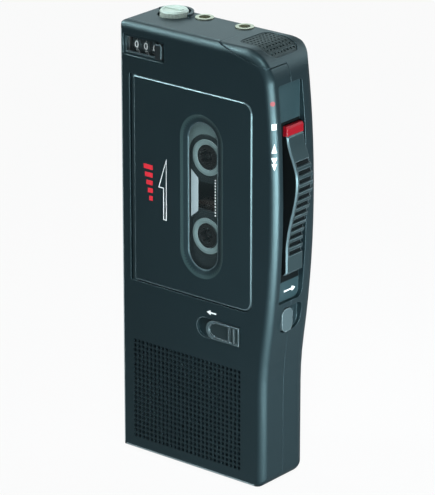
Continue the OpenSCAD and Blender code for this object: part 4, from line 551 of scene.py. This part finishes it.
plated_steel = metal("plated_steel", (0.55, 0.56, 0.57, 1.0), rough=0.34)
paper_cone = moulded("paper_cone", (0.014, 0.014, 0.014, 1.0), (0.03, 0.03, 0.029, 1.0),
                     (0.04, 0.04, 0.04, 1.0), rough=0.85, grain=0.0005, spark=0.5, edge=0.0001)
ferrite = moulded("ferrite", (0.03, 0.03, 0.032, 1.0), (0.05, 0.05, 0.052, 1.0),
                  (0.08, 0.08, 0.08, 1.0), rough=0.6, grain=0.0004, spark=0.3, edge=0.0001)
# Near-black, nearly unglossed plastic, used only for painted shade in holes, grooves and gaps.
painted_shade_black = moulded("painted_shade_black", (0.0016, 0.0018, 0.0020, 1.0), (0.0024, 0.0027, 0.0030, 1.0),
                     (0.01, 0.011, 0.012, 1.0), rough=0.6, grain=0.0003, spark=0.12, edge=0.0002, gloss=0.12)
finish(plated_steel, "speaker_frame")
finish(paper_cone, "speaker_cone")
finish(ferrite, "speaker_magnet")
frame_low, frame_high = corners("speaker_frame")
GRILLE_X, GRILLE_Z = (frame_low[0] + frame_high[0]) / 2, (frame_low[2] + frame_high[2]) / 2
GRILLE_LEFT = GRILLE_X - (GRILLE_COLS - 1) / 2 * GRILLE_PITCH
GRILLE_LOW = GRILLE_Z - (GRILLE_ROWS - 1) / 2 * GRILLE_PITCH
on_grille = on_front(SHELL_FRONT)
# Painted shade: a flat dark ring round each hole of the grille.
bm = bmesh.new()
for row in range(GRILLE_ROWS):
    for col in range(GRILLE_COLS):
        x, z = GRILLE_LEFT + col * GRILLE_PITCH, GRILLE_LOW + row * GRILLE_PITCH
        rings = [[bm.verts.new(on_grille(u, v, INK_LIFT) * MM) for u, v in circle(x, z, r, HOLE_SIDES)]
                 for r in (HOLE_SHADE_R, HOLE_R)]
        strips(bm, [ring + ring[:1] for ring in rings])
fit("grille_hole_shade", bm, painted_shade_black, "casing")

# Microphone: a small zinc capsule in the top right corner, under a cap of perforated sheet
# metal that is painted dark and pressed into the shell.
grille_paint = moulded("grille_paint", (0.014, 0.020, 0.021, 1.0), (0.020, 0.027, 0.028, 1.0),
                       (0.14, 0.17, 0.17, 1.0), rough=0.5, grain=0.0002, spark=0.15, edge=0.00012, gloss=0.3)
zinc_casting = metal("zinc_casting", (0.48, 0.49, 0.50, 1.0), rough=0.42)
finish(grille_paint, "mic_grille")
finish(zinc_casting, "mic_capsule")

# Boards: green circuit boards with black moulded components, screwed to the deck and under
# the top. The black potentiometer of the volume dial is soldered to the upper one.
board_green = moulded("board_green", (0.012, 0.06, 0.03, 1.0), (0.02, 0.08, 0.04, 1.0),
                      (0.2, 0.2, 0.12, 1.0), rough=0.4, grain=0.0006, spark=0.2, edge=0.0001)
black_plastic = moulded("black_plastic", (0.008, 0.009, 0.010, 1.0), (0.013, 0.014, 0.015, 1.0),
                        (0.05, 0.055, 0.06, 1.0), rough=0.32, grain=0.0003, spark=0.12, edge=0.00025)
finish(board_green, "circuit_board", "top_board")
finish(black_plastic, "board_components", "volume_pot")

# Tape drive: a motor turns the flywheel and its capstan by a rubber belt, and the idler turns
# the black moulded spindles. Bronze bearing and pulley, cast flywheel, all on a plated deck.
bright_steel = metal("bright_steel", (0.72, 0.73, 0.74, 1.0), rough=0.18)
sintered_bronze = metal("sintered_bronze", (0.48, 0.33, 0.17, 1.0), rough=0.4)
black_rubber = moulded("black_rubber", (0.010, 0.010, 0.010, 1.0), (0.016, 0.016, 0.016, 1.0),
                       (0.03, 0.03, 0.03, 1.0), rough=0.7, grain=0.0003, spark=0.3, edge=0.0001)
pale_nylon = moulded("guide_plastic", (0.40, 0.42, 0.40, 1.0), (0.50, 0.52, 0.49, 1.0),
                     (0.6, 0.6, 0.6, 1.0), rough=0.4, grain=0.0003, spark=0.1, edge=0.0002)
hub_plastic = moulded("hub_plastic", (0.004, 0.004, 0.004, 1.0), (0.007, 0.006, 0.006, 1.0),
                      (0.06, 0.06, 0.06, 1.0), rough=0.3, grain=0.0003, spark=0.1, edge=0.0002, gloss=0.25)
finish(plated_steel, "deck_plate", "motor")
finish(bright_steel, "capstan")
finish(zinc_casting, "flywheel")
finish(sintered_bronze, "capstan_bearing", "motor_pulley")
finish(black_rubber, "drive_belt")
finish(pale_nylon, "idler_gear")
finish(hub_plastic, "takeup_spindle", "supply_spindle")

# Heads: the bright play head, the black erase head and the pinch arm with its rubber roller
# are fixed to a plated plate that slides towards the tape.
finish(plated_steel, "head_plate", "pinch_arm")
finish(bright_steel, "play_head")
finish(black_plastic, "erase_head")
finish(black_rubber, "pinch_roller")

# Cells and fixings: two cells in plain steel sleeves between sprung contacts, behind a
# sliding lid of the shell's own plastic. Plated screws hold the two shells together.
cell_sleeve = metal("cell_sleeve", (0.30, 0.32, 0.34, 1.0), rough=0.3)
finish(cell_sleeve, "battery_cells")
finish(bright_steel, "battery_contacts")
finish(shell_plastic, "battery_lid")
finish(plated_steel, "case_screws")

# Counter: three black wheels with white numbers on one steel shaft in a plated frame, behind a
# small clear window. The black button at its right sets them back to nought.
SHAFT_LOW, SHAFT_HIGH = corners("counter_shaft")
WHEEL_Y, WHEEL_Z = (SHAFT_LOW[1] + SHAFT_HIGH[1]) / 2, (SHAFT_LOW[2] + SHAFT_HIGH[2]) / 2
DIGIT_HIGH, DIGIT_THICK, DIGIT_BOLD, FONT_SHARE = 2.25, 0.03, 0.04, 0.7
DUST_PER_M = 700.0
LINE_IN, LINE_WIDE = 0.1, 0.3
STYRENE, STYRENE_COVER = (0.10, 0.13, 0.135, 1.0), 0.02


def clear_sheet(name, shade, cover):
    material, wire, shader = bare_material(name)
    place = wire.put("ShaderNodeTexCoord", out="Object")
    dust = speckle(wire, place, DUST_PER_M, 5.0)
    (0.06 + dust * 0.08).feed(shader, "Roughness")
    (cover + dust * 0.03).feed(shader, "Alpha")
    shader.inputs["Base Color"].default_value = shade
    return material


def figure(digit):
    """The mesh of one number, flat and upright, in millimetres."""
    letter = bpy.data.curves.new("figure", "FONT")
    letter.body = str(digit)
    letter.size = DIGIT_HIGH / FONT_SHARE
    letter.align_x = "CENTER"
    letter.extrude = DIGIT_THICK
    letter.offset = DIGIT_BOLD
    letter.resolution_u = 3
    holder = bpy.data.objects.new("figure", letter)
    bpy.context.scene.collection.objects.link(holder)
    bpy.context.view_layer.update()
    mesh = bpy.data.meshes.new_from_object(holder.evaluated_get(bpy.context.evaluated_depsgraph_get()))
    bpy.data.objects.remove(holder)
    bpy.data.curves.remove(letter)
    return mesh


def figures(wheel):
    """The ten numbers of a wheel, bent round it."""
    low, high = corners(wheel)
    x, wheel_r = (low[0] + high[0]) / 2, high[1] - WHEEL_Y
    bm = bmesh.new()
    for digit in range(10):
        mesh = figure(digit)
        first = len(bm.verts)
        bm.from_mesh(mesh)
        bpy.data.meshes.remove(mesh)
        bm.verts.ensure_lookup_table()
        for vert in bm.verts[first:]:
            angle = (vert.co.y - DIGIT_HIGH / 2) / wheel_r + math.radians(36 * digit)
            out = wheel_r + vert.co.z
            up, ahead = out * math.sin(angle), out * math.cos(angle)
            vert.co = Vector((x + vert.co.x, WHEEL_Y - ahead, WHEEL_Z + up)) * MM
    return bm


clear_styrene = clear_sheet("clear_styrene", STYRENE, STYRENE_COVER)
# A pale plastic for thin lines of painted highlight along lit edges and rims.
painted_highlight = moulded("painted_highlight", (0.035, 0.052, 0.058, 1.0), (0.055, 0.078, 0.085, 1.0),
                    (0.30, 0.36, 0.38, 1.0), rough=0.3, grain=0.0002, spark=0.1, edge=0.0001, gloss=0.6)
finish(clear_styrene, "counter_window")
finish(plated_steel, "counter_frame")
finish(bright_steel, "counter_shaft")
finish(black_plastic, "digit_wheel_units", "digit_wheel_tens", "digit_wheel_hundreds", "reset_button")
for wheel in ("hundreds", "tens", "units"):
    fit("figures_" + wheel, figures("digit_wheel_" + wheel), white_ink, "digit_" + wheel)
# Painted highlights: a light line along the foot of the window, and along the top and right edges of the
# reset button.
(left, face, low), (right, _, _) = corners("counter_window")
window_line = bar(left + LINE_IN, right - LINE_IN, low + LINE_IN, low + LINE_IN + LINE_WIDE)
stamped("counter_line", [window_line], on_front(face), painted_highlight, "casing")
(left, face, low), (right, _, high) = corners("reset_button")
left, right, low, high = left + LINE_IN, right - LINE_IN, low + 2 * LINE_IN, high - LINE_IN
reset_lines = [bar(left, right, high - LINE_WIDE, high), bar(right - LINE_WIDE, right, low, high - LINE_WIDE)]
stamped("reset_rim", reset_lines, on_front(face), painted_highlight, "reset")

# Microcassette: two black moulded halves with black hubs, pale rollers and brown tape. Each hub
# stands in a pale moulded ring with a dark collar; a grey paper label, a pale strip and a row
# of fine ticks are on its face.
(lens_left, LENS_FACE, lens_low), (lens_right, _, lens_high) = corners("door_window")
LENS_R, LENS_X = (lens_right - lens_left) / 2, (lens_left + lens_right) / 2
on_cassette = on_front(corners("cassette_front")[0][1])
HUB_HIGH, HUB_LOW = [sum(corner[2] for corner in corners(hub)) / 2 for hub in ("takeup_hub", "supply_hub")]
RING_X = LENS_X + 0.8
COLLAR_R, RING_R, RING_HOLE_R, RING_SIDES = 7.2, 5.7, 4.0, 64
COLLAR_RISE, RING_RISE = (0.06, 0.12, 0.1), (0.25, 0.3, 0.0)
LABEL_LEFT, LABEL_RIGHT, LABEL_LOW, LABEL_HIGH = -6.0, 13.0, 104.0, 114.4
LABEL_BITE = arc(RING_X, HUB_HIGH, 7.3, 167.7, -155.4, 24)
LABEL = [(LABEL_LEFT, LABEL_LOW)] + LABEL_BITE + bar(LABEL_LEFT, LABEL_RIGHT, LABEL_LOW, LABEL_HIGH)[1:]
STRIP = [(-1.9, 82.2), (0.9, 84.6), (0.9, 95.1), (-1.9, 97.5)]
TICKS, TICK_PITCH, TICK_X, TICK_WIDE, TICK_HIGH = 14, 0.95, 7.4, 0.45, 0.5
TICK_LOW = (HUB_HIGH + HUB_LOW) / 2 - TICKS / 2 * TICK_PITCH
TURNS_PER_M = 3000.0
TAPE_DARK, TAPE_LIGHT = (0.006, 0.004, 0.003, 1), (0.016, 0.010, 0.008, 1)


def tape_stuff(name):
    material, wire, shader = bare_material(name)
    place = wire.put("ShaderNodeTexCoord", out="Object")
    turns = speckle(wire, place, TURNS_PER_M, 3.0)
    between(wire, turns, TAPE_DARK, TAPE_LIGHT).feed(shader, "Base Color")
    (0.2 + turns * 0.15).feed(shader, "Roughness")
    return material


def loft(bm, loops, place):
    """A ring of faces through closed outlines, each with its height over the face."""
    lines = [[bm.verts.new(place(u, v, h) * MM) for u, v in loop] for loop, h in loops]
    strips(bm, [line + line[:1] for line in lines + lines[:1]])


def hub_rounds(name, outer, inner, rises, material):
    radii = (outer, outer, (outer + inner) / 2, inner, inner)
    heights = (INK_ROOT, *rises, INK_ROOT)
    bm = bmesh.new()
    for z in (HUB_HIGH, HUB_LOW):
        loft(bm, [(circle(RING_X, z, r, RING_SIDES), h) for r, h in zip(radii, heights)], on_cassette)
    fit(name, bm, material, "casing")


cassette_plastic = moulded("cassette_plastic", (0.004, 0.006, 0.007, 1.0), (0.007, 0.010, 0.011, 1.0),
                           (0.04, 0.05, 0.052, 1.0), rough=0.3, grain=0.0003, spark=0.1, edge=0.0002)
label_paper = moulded("label_paper", (0.055, 0.085, 0.085, 1.0), (0.085, 0.12, 0.12, 1.0),
                      (0.12, 0.16, 0.16, 1.0), rough=0.5, grain=0.0002, spark=0.2, edge=0.0001)
pale_print = moulded("pale_print", (0.30, 0.36, 0.38, 1.0), (0.36, 0.42, 0.44, 1.0),
                     (0.5, 0.55, 0.56, 1.0), rough=0.4, grain=0.0002, spark=0.1, edge=0.0001)
ring_plastic = moulded("ring_plastic", (0.10, 0.145, 0.145, 1.0), (0.13, 0.18, 0.18, 1.0),
                       (0.4, 0.46, 0.46, 1.0), rough=0.3, grain=0.0003, spark=0.1, edge=0.0002)
finish(cassette_plastic, "cassette_front", "cassette_rear")
finish(hub_plastic, "takeup_hub", "supply_hub")
finish(pale_nylon, "guide_roller_upper", "guide_roller_lower")
finish(tape_stuff("brown_tape"), "takeup_tape", "supply_tape", "tape_run")
tick_feet = [TICK_LOW + i * TICK_PITCH for i in range(TICKS)]
ticks = [bar(TICK_X, TICK_X + TICK_WIDE, foot, foot + TICK_HIGH) for foot in tick_feet]
stamped("cassette_label", [LABEL], on_cassette, label_paper, "casing")
stamped("cassette_strip", [STRIP], on_cassette, pale_print, "casing")
stamped("cassette_ticks", ticks, on_cassette, white_ink, "casing")
hub_rounds("hub_collars", COLLAR_R, RING_R, COLLAR_RISE, cassette_plastic)
hub_rounds("hub_rings", RING_R, RING_HOLE_R, RING_RISE, ring_plastic)

# Door: the case's plastic in a smoother finish, hinged at the left on a steel pin, with a leaf
# spring inside and a clear lens behind its bevelled window. Its edge and the window carry painted
# highlights, and an outlined arrow and a row of red bars are printed on it.
DOOR_DARK = (0.0036, 0.0080, 0.0104, 1.0)
DOOR_LIGHT = (0.0052, 0.0108, 0.0136, 1.0)
INK_RED = (0.62, 0.02, 0.035, 1.0)
(_, DOOR_FACE, DOOR_LOW), (DOOR_RIGHT, _, DOOR_HIGH) = corners("cassette_door")
DOOR_LEFT = sum(corner[0] for corner in corners("hinge_pin")) / 2
DOOR_CORNER, DOOR_BEVEL, DOOR_LINE = 3.5, 0.5, 0.12
# The painted highlight strip's section: how far in from the rim, and how high over the face.
DOOR_EDGE = [
    (0.02, -0.47),
    (DOOR_BEVEL, 0.01),
    (DOOR_BEVEL + DOOR_LINE, 0.01),
    (DOOR_BEVEL + DOOR_LINE, -0.52),
]
ARROW = [(-9.9, 79.4), (-9.9, 99.3), (-13.1, 89.6), (-11.2, 89.6), (-11.2, 79.4)]
ARROW_LINE = 0.28
BARS, BAR_RIGHT, BAR_LOW, BAR_PITCH, BAR_HIGH = 5, -15.4, 84.6, 2.5, 1.5
BAR_SHORT, BAR_GROWS = 1.4, 0.55
GLASS_R, RIM_R, GLASS_DEEP = LENS_R - 0.7, 8.35, LENS_FACE - DOOR_FACE
BEVEL_LAP, BEVEL_THICK, HIGHLIGHT_OUT, HIGHLIGHT_IN = 0.15, 0.1, 0.02, 0.16


def inset(loop, width):
    """An outline drawn in by an even width."""
    points = []
    for (u0, v0), (u1, v1), (u2, v2) in zip(loop[-1:] + loop[:-1], loop, loop[1:] + loop[:1]):
        a = Vector((u1 - u0, v1 - v0)).normalized()
        b = Vector((u2 - u1, v2 - v1)).normalized()
        normal = (Vector((-a.y, a.x)) + Vector((-b.y, b.x))).normalized()
        reach = width / max(0.3, normal.dot(Vector((-a.y, a.x))))
        points.append((u1 + normal.x * reach, v1 + normal.y * reach))
    return points


def outlined(name, outer, inner, place, material):
    """A printed line or a line of painted highlight on the door, between two outlines."""
    bm = bmesh.new()
    loft(bm, [(outer, INK_LIFT), (outer, INK_ROOT), (inner, INK_ROOT), (inner, INK_LIFT)], place)
    fit(name, bm, material, "door")


def window_slot(r):
    return (arc(LENS_X, lens_high - LENS_R, r, 0, 180, 24)
            + arc(LENS_X, lens_low + LENS_R, r, 180, 180, 24))


door_plastic = moulded("door_plastic", DOOR_DARK, DOOR_LIGHT, SHELL_RUBBED,
                       rough=0.4, grain=0.00018, spark=0.18, edge=0.0003)
# The window's bevel is a lighter copy of the door's plastic: painted light on its slopes.
lit_bevel_plastic = moulded("lit_bevel_plastic", (0.014, 0.027, 0.028, 1.0), (0.019, 0.034, 0.035, 1.0),
                        SHELL_RUBBED, rough=0.36, grain=0.0002, spark=0.15, edge=0.0002)
finish(door_plastic, "cassette_door")
finish(bright_steel, "hinge_pin")
finish(plated_steel, "door_spring")
finish(clear_styrene, "door_window")
on_door = on_front(DOOR_FACE)
door_rim = [(DOOR_LEFT, DOOR_LOW)]
door_rim += arc(DOOR_RIGHT - DOOR_CORNER, DOOR_LOW + DOOR_CORNER, DOOR_CORNER, 270, 90, 8)
door_rim += arc(DOOR_RIGHT - DOOR_CORNER, DOOR_HIGH - DOOR_CORNER, DOOR_CORNER, 0, 90, 8)
door_rim += [(DOOR_LEFT, DOOR_HIGH)]
# Painted highlight on a sloped strip along the door's rim.
bm = bmesh.new()
loft(bm, [(inset(door_rim, width), h) for width, h in DOOR_EDGE], on_door)
fit("door_edge", bm, painted_highlight, "door")
outlined("door_arrow", ARROW, inset(ARROW, ARROW_LINE), on_door, white_ink)
bar_feet = [BAR_LOW + i * BAR_PITCH for i in range(BARS)]
bars = [bar(BAR_RIGHT - BAR_SHORT - BAR_GROWS * i, BAR_RIGHT, foot, foot + BAR_HIGH)
        for i, foot in enumerate(bar_feet)]
stamped("level_bars", bars, on_door, ink("red_ink", INK_RED), "door")
# The window's bevel, in its painted-light plastic.
bm = bmesh.new()
loft(bm, [(window_slot(RIM_R), 0.01), (window_slot(GLASS_R + BEVEL_LAP), 0.04 - GLASS_DEEP),
          (window_slot(GLASS_R + BEVEL_LAP), -BEVEL_THICK - GLASS_DEEP), (window_slot(RIM_R), -BEVEL_THICK)],
     on_door)
fit("window_bevel", bm, lit_bevel_plastic, "door")
# A line of painted highlight round the inner edge of the window.
outlined("window_highlight", window_slot(GLASS_R + HIGHLIGHT_OUT), window_slot(GLASS_R - HIGHLIGHT_IN),
         on_front(LENS_FACE), painted_highlight)

# Control slider: a grey moulded bar with a waved back, a grooved thumb grip and a red end. It
# runs on a dark painted inlay that is let into the right side, with an arrow for the lock.
(_, SLIDER_FRONT, SLIDER_FOOT), (_, SLIDER_REAR, SLIDER_END) = corners("control_slider")
SLIDER_LONG, SLIDER_FLOOR = SLIDER_END - SLIDER_FOOT, corners("record_cap")[0][0]
SLIDER_BORDER = SLIDER_FRONT + 1.0
SLIDER_LIFT, SLIDER_EDGE, SLIDER_STEP = 0.3, 0.4, 0.1
FOOT_RUN, FOOT_DROP, END_RUN = 0.8, 0.5, 0.4
WAVE_CREST, WAVE_RISE, WAVE_FALL, WAVE_END, WAVE_HUMP = 30.5, 14.0, 23.0, 1.5, 3.7
GROOVES, GROOVE_LOW, GROOVE_PITCH, GROOVE_WIDE, GROOVE_DEEP = 12, 6.0, 2.62, 1.6, 0.85
GROOVE_FLANK, GROOVE_SIDE, GROOVE_CLEAR, GROOVE_LIFT, GROOVE_STEPS = 0.2, 0.15, 0.02, 0.03, 8
CREST_LIFT, FRONT_SHADE_CLEAR = 0.02, 0.15
(_, TRACK_FRONT, _), (TRACK_FACE, TRACK_REAR, _) = corners("track_plate")
SHADE_LOW, SHADE_HIGH, SHADE_IN = 66.6, 117.6, 0.1
LOCK_ARROW_Y, LOCK_ARROW_Z = 2.4, 63.4


def slider_back(t):
    """The height of the waved back at t along the slider."""
    away = t - WAVE_CREST
    span = WAVE_RISE if away > 0 else WAVE_FALL
    swell = 0.0 if abs(away) > span else 0.5 + 0.5 * math.cos(math.pi * away / span)
    ends = min(t / FOOT_RUN, (SLIDER_LONG - t) / END_RUN, 1.0)
    return WAVE_END + WAVE_HUMP * swell + SLIDER_LIFT * ends - FOOT_DROP * (1 - min(t / FOOT_RUN, 1.0))


def groove(t):
    place = (t - GROOVE_LOW) % GROOVE_PITCH
    if not 0 <= t - GROOVE_LOW < GROOVES * GROOVE_PITCH or place > GROOVE_WIDE:
        return 0.0
    return GROOVE_DEEP * min(min(place, GROOVE_WIDE - place) / GROOVE_FLANK, 1.0)


def grooved_back(t):
    return slider_back(t) - groove(t)


def slider_line(bm, y, height, stops):
    return [bm.verts.new(Vector((SLIDER_FLOOR + height(t), y, SLIDER_FOOT + t)) * MM) for t in stops]


def on_side(x):
    return lambda u, v, h: Vector((x + h, u, v))


slider_plastic = moulded("slider_plastic", (0.011, 0.019, 0.021, 1.0), (0.015, 0.024, 0.027, 1.0),
                         (0.30, 0.38, 0.42, 1.0), rough=0.34, grain=0.0003, spark=0.1, edge=0.0003)
red_plastic = moulded("red_plastic", (0.17, 0.0012, 0.005, 1.0), (0.21, 0.002, 0.008, 1.0),
                      (0.5, 0.03, 0.04, 1.0), rough=0.32, grain=0.0003, spark=0.08, edge=0.0003, gloss=0.4)
inlay_paint = moulded("inlay_paint", (0.009, 0.021, 0.025, 1.0), (0.013, 0.027, 0.032, 1.0),
                      (0.2, 0.26, 0.28, 1.0), rough=0.45, grain=0.0002, spark=0.2, edge=0.0002)
finish(red_plastic, "record_cap")
finish(inlay_paint, "track_plate")
stop_count = round(SLIDER_LONG / SLIDER_STEP)
stops = [SLIDER_LONG * i / stop_count for i in range(stop_count + 1)]
SLIDER_SECTION = [
    (SLIDER_FRONT, lambda t: 0.0),
    (SLIDER_FRONT, lambda t: slider_back(t) - SLIDER_EDGE),
    (SLIDER_FRONT + SLIDER_EDGE, slider_back),
    (SLIDER_BORDER, slider_back),
    (SLIDER_BORDER, grooved_back),
    (SLIDER_REAR - SLIDER_EDGE, grooved_back),
    (SLIDER_REAR, lambda t: slider_back(t) - max(groove(t), SLIDER_EDGE)),
    (SLIDER_REAR, lambda t: 0.0),
]
bm = bmesh.new()
lines = [slider_line(bm, y, height, stops) for y, height in SLIDER_SECTION]
strips(bm, lines + lines[:1])
for end in (0, -1):
    bm.faces.new([line[end] for line in lines])
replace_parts(fit("slider_grip", bm, slider_plastic, "slider"), "control_slider")
# Painted shade on the floors of the grip's grooves.
bm = bmesh.new()
for i in range(GROOVES):
    start = GROOVE_LOW + i * GROOVE_PITCH + GROOVE_SIDE
    floor = [start + (GROOVE_WIDE - 2 * GROOVE_SIDE) * k / GROOVE_STEPS for k in range(GROOVE_STEPS + 1)]
    strips(bm, [slider_line(bm, y, lambda t: grooved_back(t) + GROOVE_LIFT, floor)
                for y in (SLIDER_BORDER + GROOVE_CLEAR, SLIDER_REAR - SLIDER_EDGE)])
fit("groove_painted_shade", bm, painted_shade_black, "slider")
# Painted shade over the slider's front face, which sits in the shadow of its slot.
front_shade_outline = [(SLIDER_FLOOR, SLIDER_FOOT)]
front_shade_outline += [(SLIDER_FLOOR + slider_back(t) - SLIDER_EDGE - FRONT_SHADE_CLEAR, SLIDER_FOOT + t) for t in stops]
front_shade_outline += [(SLIDER_FLOOR, SLIDER_END)]
stamped("slider_front_shade", [front_shade_outline], on_front(SLIDER_FRONT), painted_shade_black, "slider")
# A painted highlight along the slider's front crest.
bm = bmesh.new()
strips(bm, [slider_line(bm, y - CREST_LIFT, lambda t: slider_back(t) - drop + CREST_LIFT, stops)
            for y, drop in ((SLIDER_FRONT, SLIDER_EDGE), (SLIDER_FRONT + SLIDER_EDGE, 0.0))])
fit("slider_crest", bm, painted_highlight, "slider")
# Painted shade on the inlay along the slider's run, where the slot lies in shadow.
shade = bar(TRACK_FRONT + SHADE_IN, TRACK_REAR - SHADE_IN, SHADE_LOW, SHADE_HIGH)
stamped("track_painted_shade", [shade], on_side(TRACK_FACE), painted_shade_black, "casing")
lock_arrow = arrow(LOCK_ARROW_Y, LOCK_ARROW_Z, length=-5.4, head=1.7, half=0.85, shaft=0.2)
stamped("lock_mark", [lock_arrow], on_side(TRACK_FACE), white_ink, "casing")

# Eject knob: a dark moulded knob that slides in a slot of the front and draws a plated latch
# bar behind it. Its rim and the round end of the slot carry lines of painted highlight.
(EJECT_LEFT, EJECT_FACE, EJECT_LOW), (EJECT_RIGHT, _, EJECT_HIGH) = corners("eject_knob")
EJECT_R, EJECT_Z = (EJECT_HIGH - EJECT_LOW) / 2, (EJECT_HIGH + EJECT_LOW) / 2
EJECT_ROUND_X = EJECT_LEFT + EJECT_R
EJECT_TRAVEL, EJECT_CLEAR = 3.8, 0.2
EJECT_SLOT_X, EJECT_SLOT_R = EJECT_ROUND_X - EJECT_TRAVEL, EJECT_R + EJECT_CLEAR
RIM_IN, RIM_LINE, RIM_END_LINE, RIM_ROUND_LINE = 0.05, 0.28, 0.35, 0.9
SLOT_LINE_FROM, SLOT_LINE_TO = 0.03, 0.22
eject_plastic = moulded("eject_plastic", (0.009, 0.014, 0.016, 1.0), (0.012, 0.018, 0.020, 1.0),
                        (0.3, 0.36, 0.38, 1.0), rough=0.3, grain=0.0003, spark=0.1, edge=0.0003)
finish(eject_plastic, "eject_knob")
finish(plated_steel, "eject_latch")
# Painted highlights: a crescent and lines round the knob's rim, and an arc round the slot's end.
low, high, right = EJECT_LOW + RIM_IN, EJECT_HIGH - RIM_IN, EJECT_RIGHT - RIM_IN
crescent = (arc(EJECT_ROUND_X, EJECT_Z, EJECT_R - RIM_IN, 95, 170, 20)
            + arc(EJECT_ROUND_X, EJECT_Z, EJECT_R - RIM_IN - RIM_ROUND_LINE, 265, -170, 20))
eject_lines = [
    crescent,
    bar(EJECT_ROUND_X, right, high - RIM_LINE, high),
    bar(EJECT_ROUND_X, right, low, low + RIM_LINE),
    bar(right - RIM_END_LINE, right, low + RIM_LINE, high - RIM_LINE),
]
stamped("eject_rim", eject_lines, on_front(EJECT_FACE), painted_highlight, "eject")
slot_line = (arc(EJECT_SLOT_X, EJECT_Z, EJECT_SLOT_R + SLOT_LINE_TO, 90, 180, 20)
             + arc(EJECT_SLOT_X, EJECT_Z, EJECT_SLOT_R + SLOT_LINE_FROM, 270, -180, 20))
stamped("eject_slot_line", [slot_line], on_front(SHELL_FRONT), painted_highlight, "casing")

# Lock knob, volume dial and jacks: a light grey moulded knob that slides in the right side, a
# pale knurled dial on its potentiometer in the top, and two gilt brass sockets beside it.
lock_plastic = moulded("lock_plastic", (0.036, 0.052, 0.057, 1.0), (0.044, 0.062, 0.068, 1.0),
                       (0.42, 0.5, 0.52, 1.0), rough=0.36, grain=0.0003, spark=0.1, edge=0.0003)
dial_plastic = moulded("dial_plastic", (0.48, 0.55, 0.49, 1.0), (0.54, 0.60, 0.53, 1.0),
                       (0.6, 0.66, 0.63, 1.0), rough=0.42, grain=0.0003, spark=0.1, edge=0.0002)
gilt_brass = metal("gilt_brass", (0.66, 0.66, 0.52, 1.0), rough=0.4)
finish(lock_plastic, "lock_knob")
finish(dial_plastic, "volume_dial")
finish(gilt_brass, "ear_jack", "mic_jack")
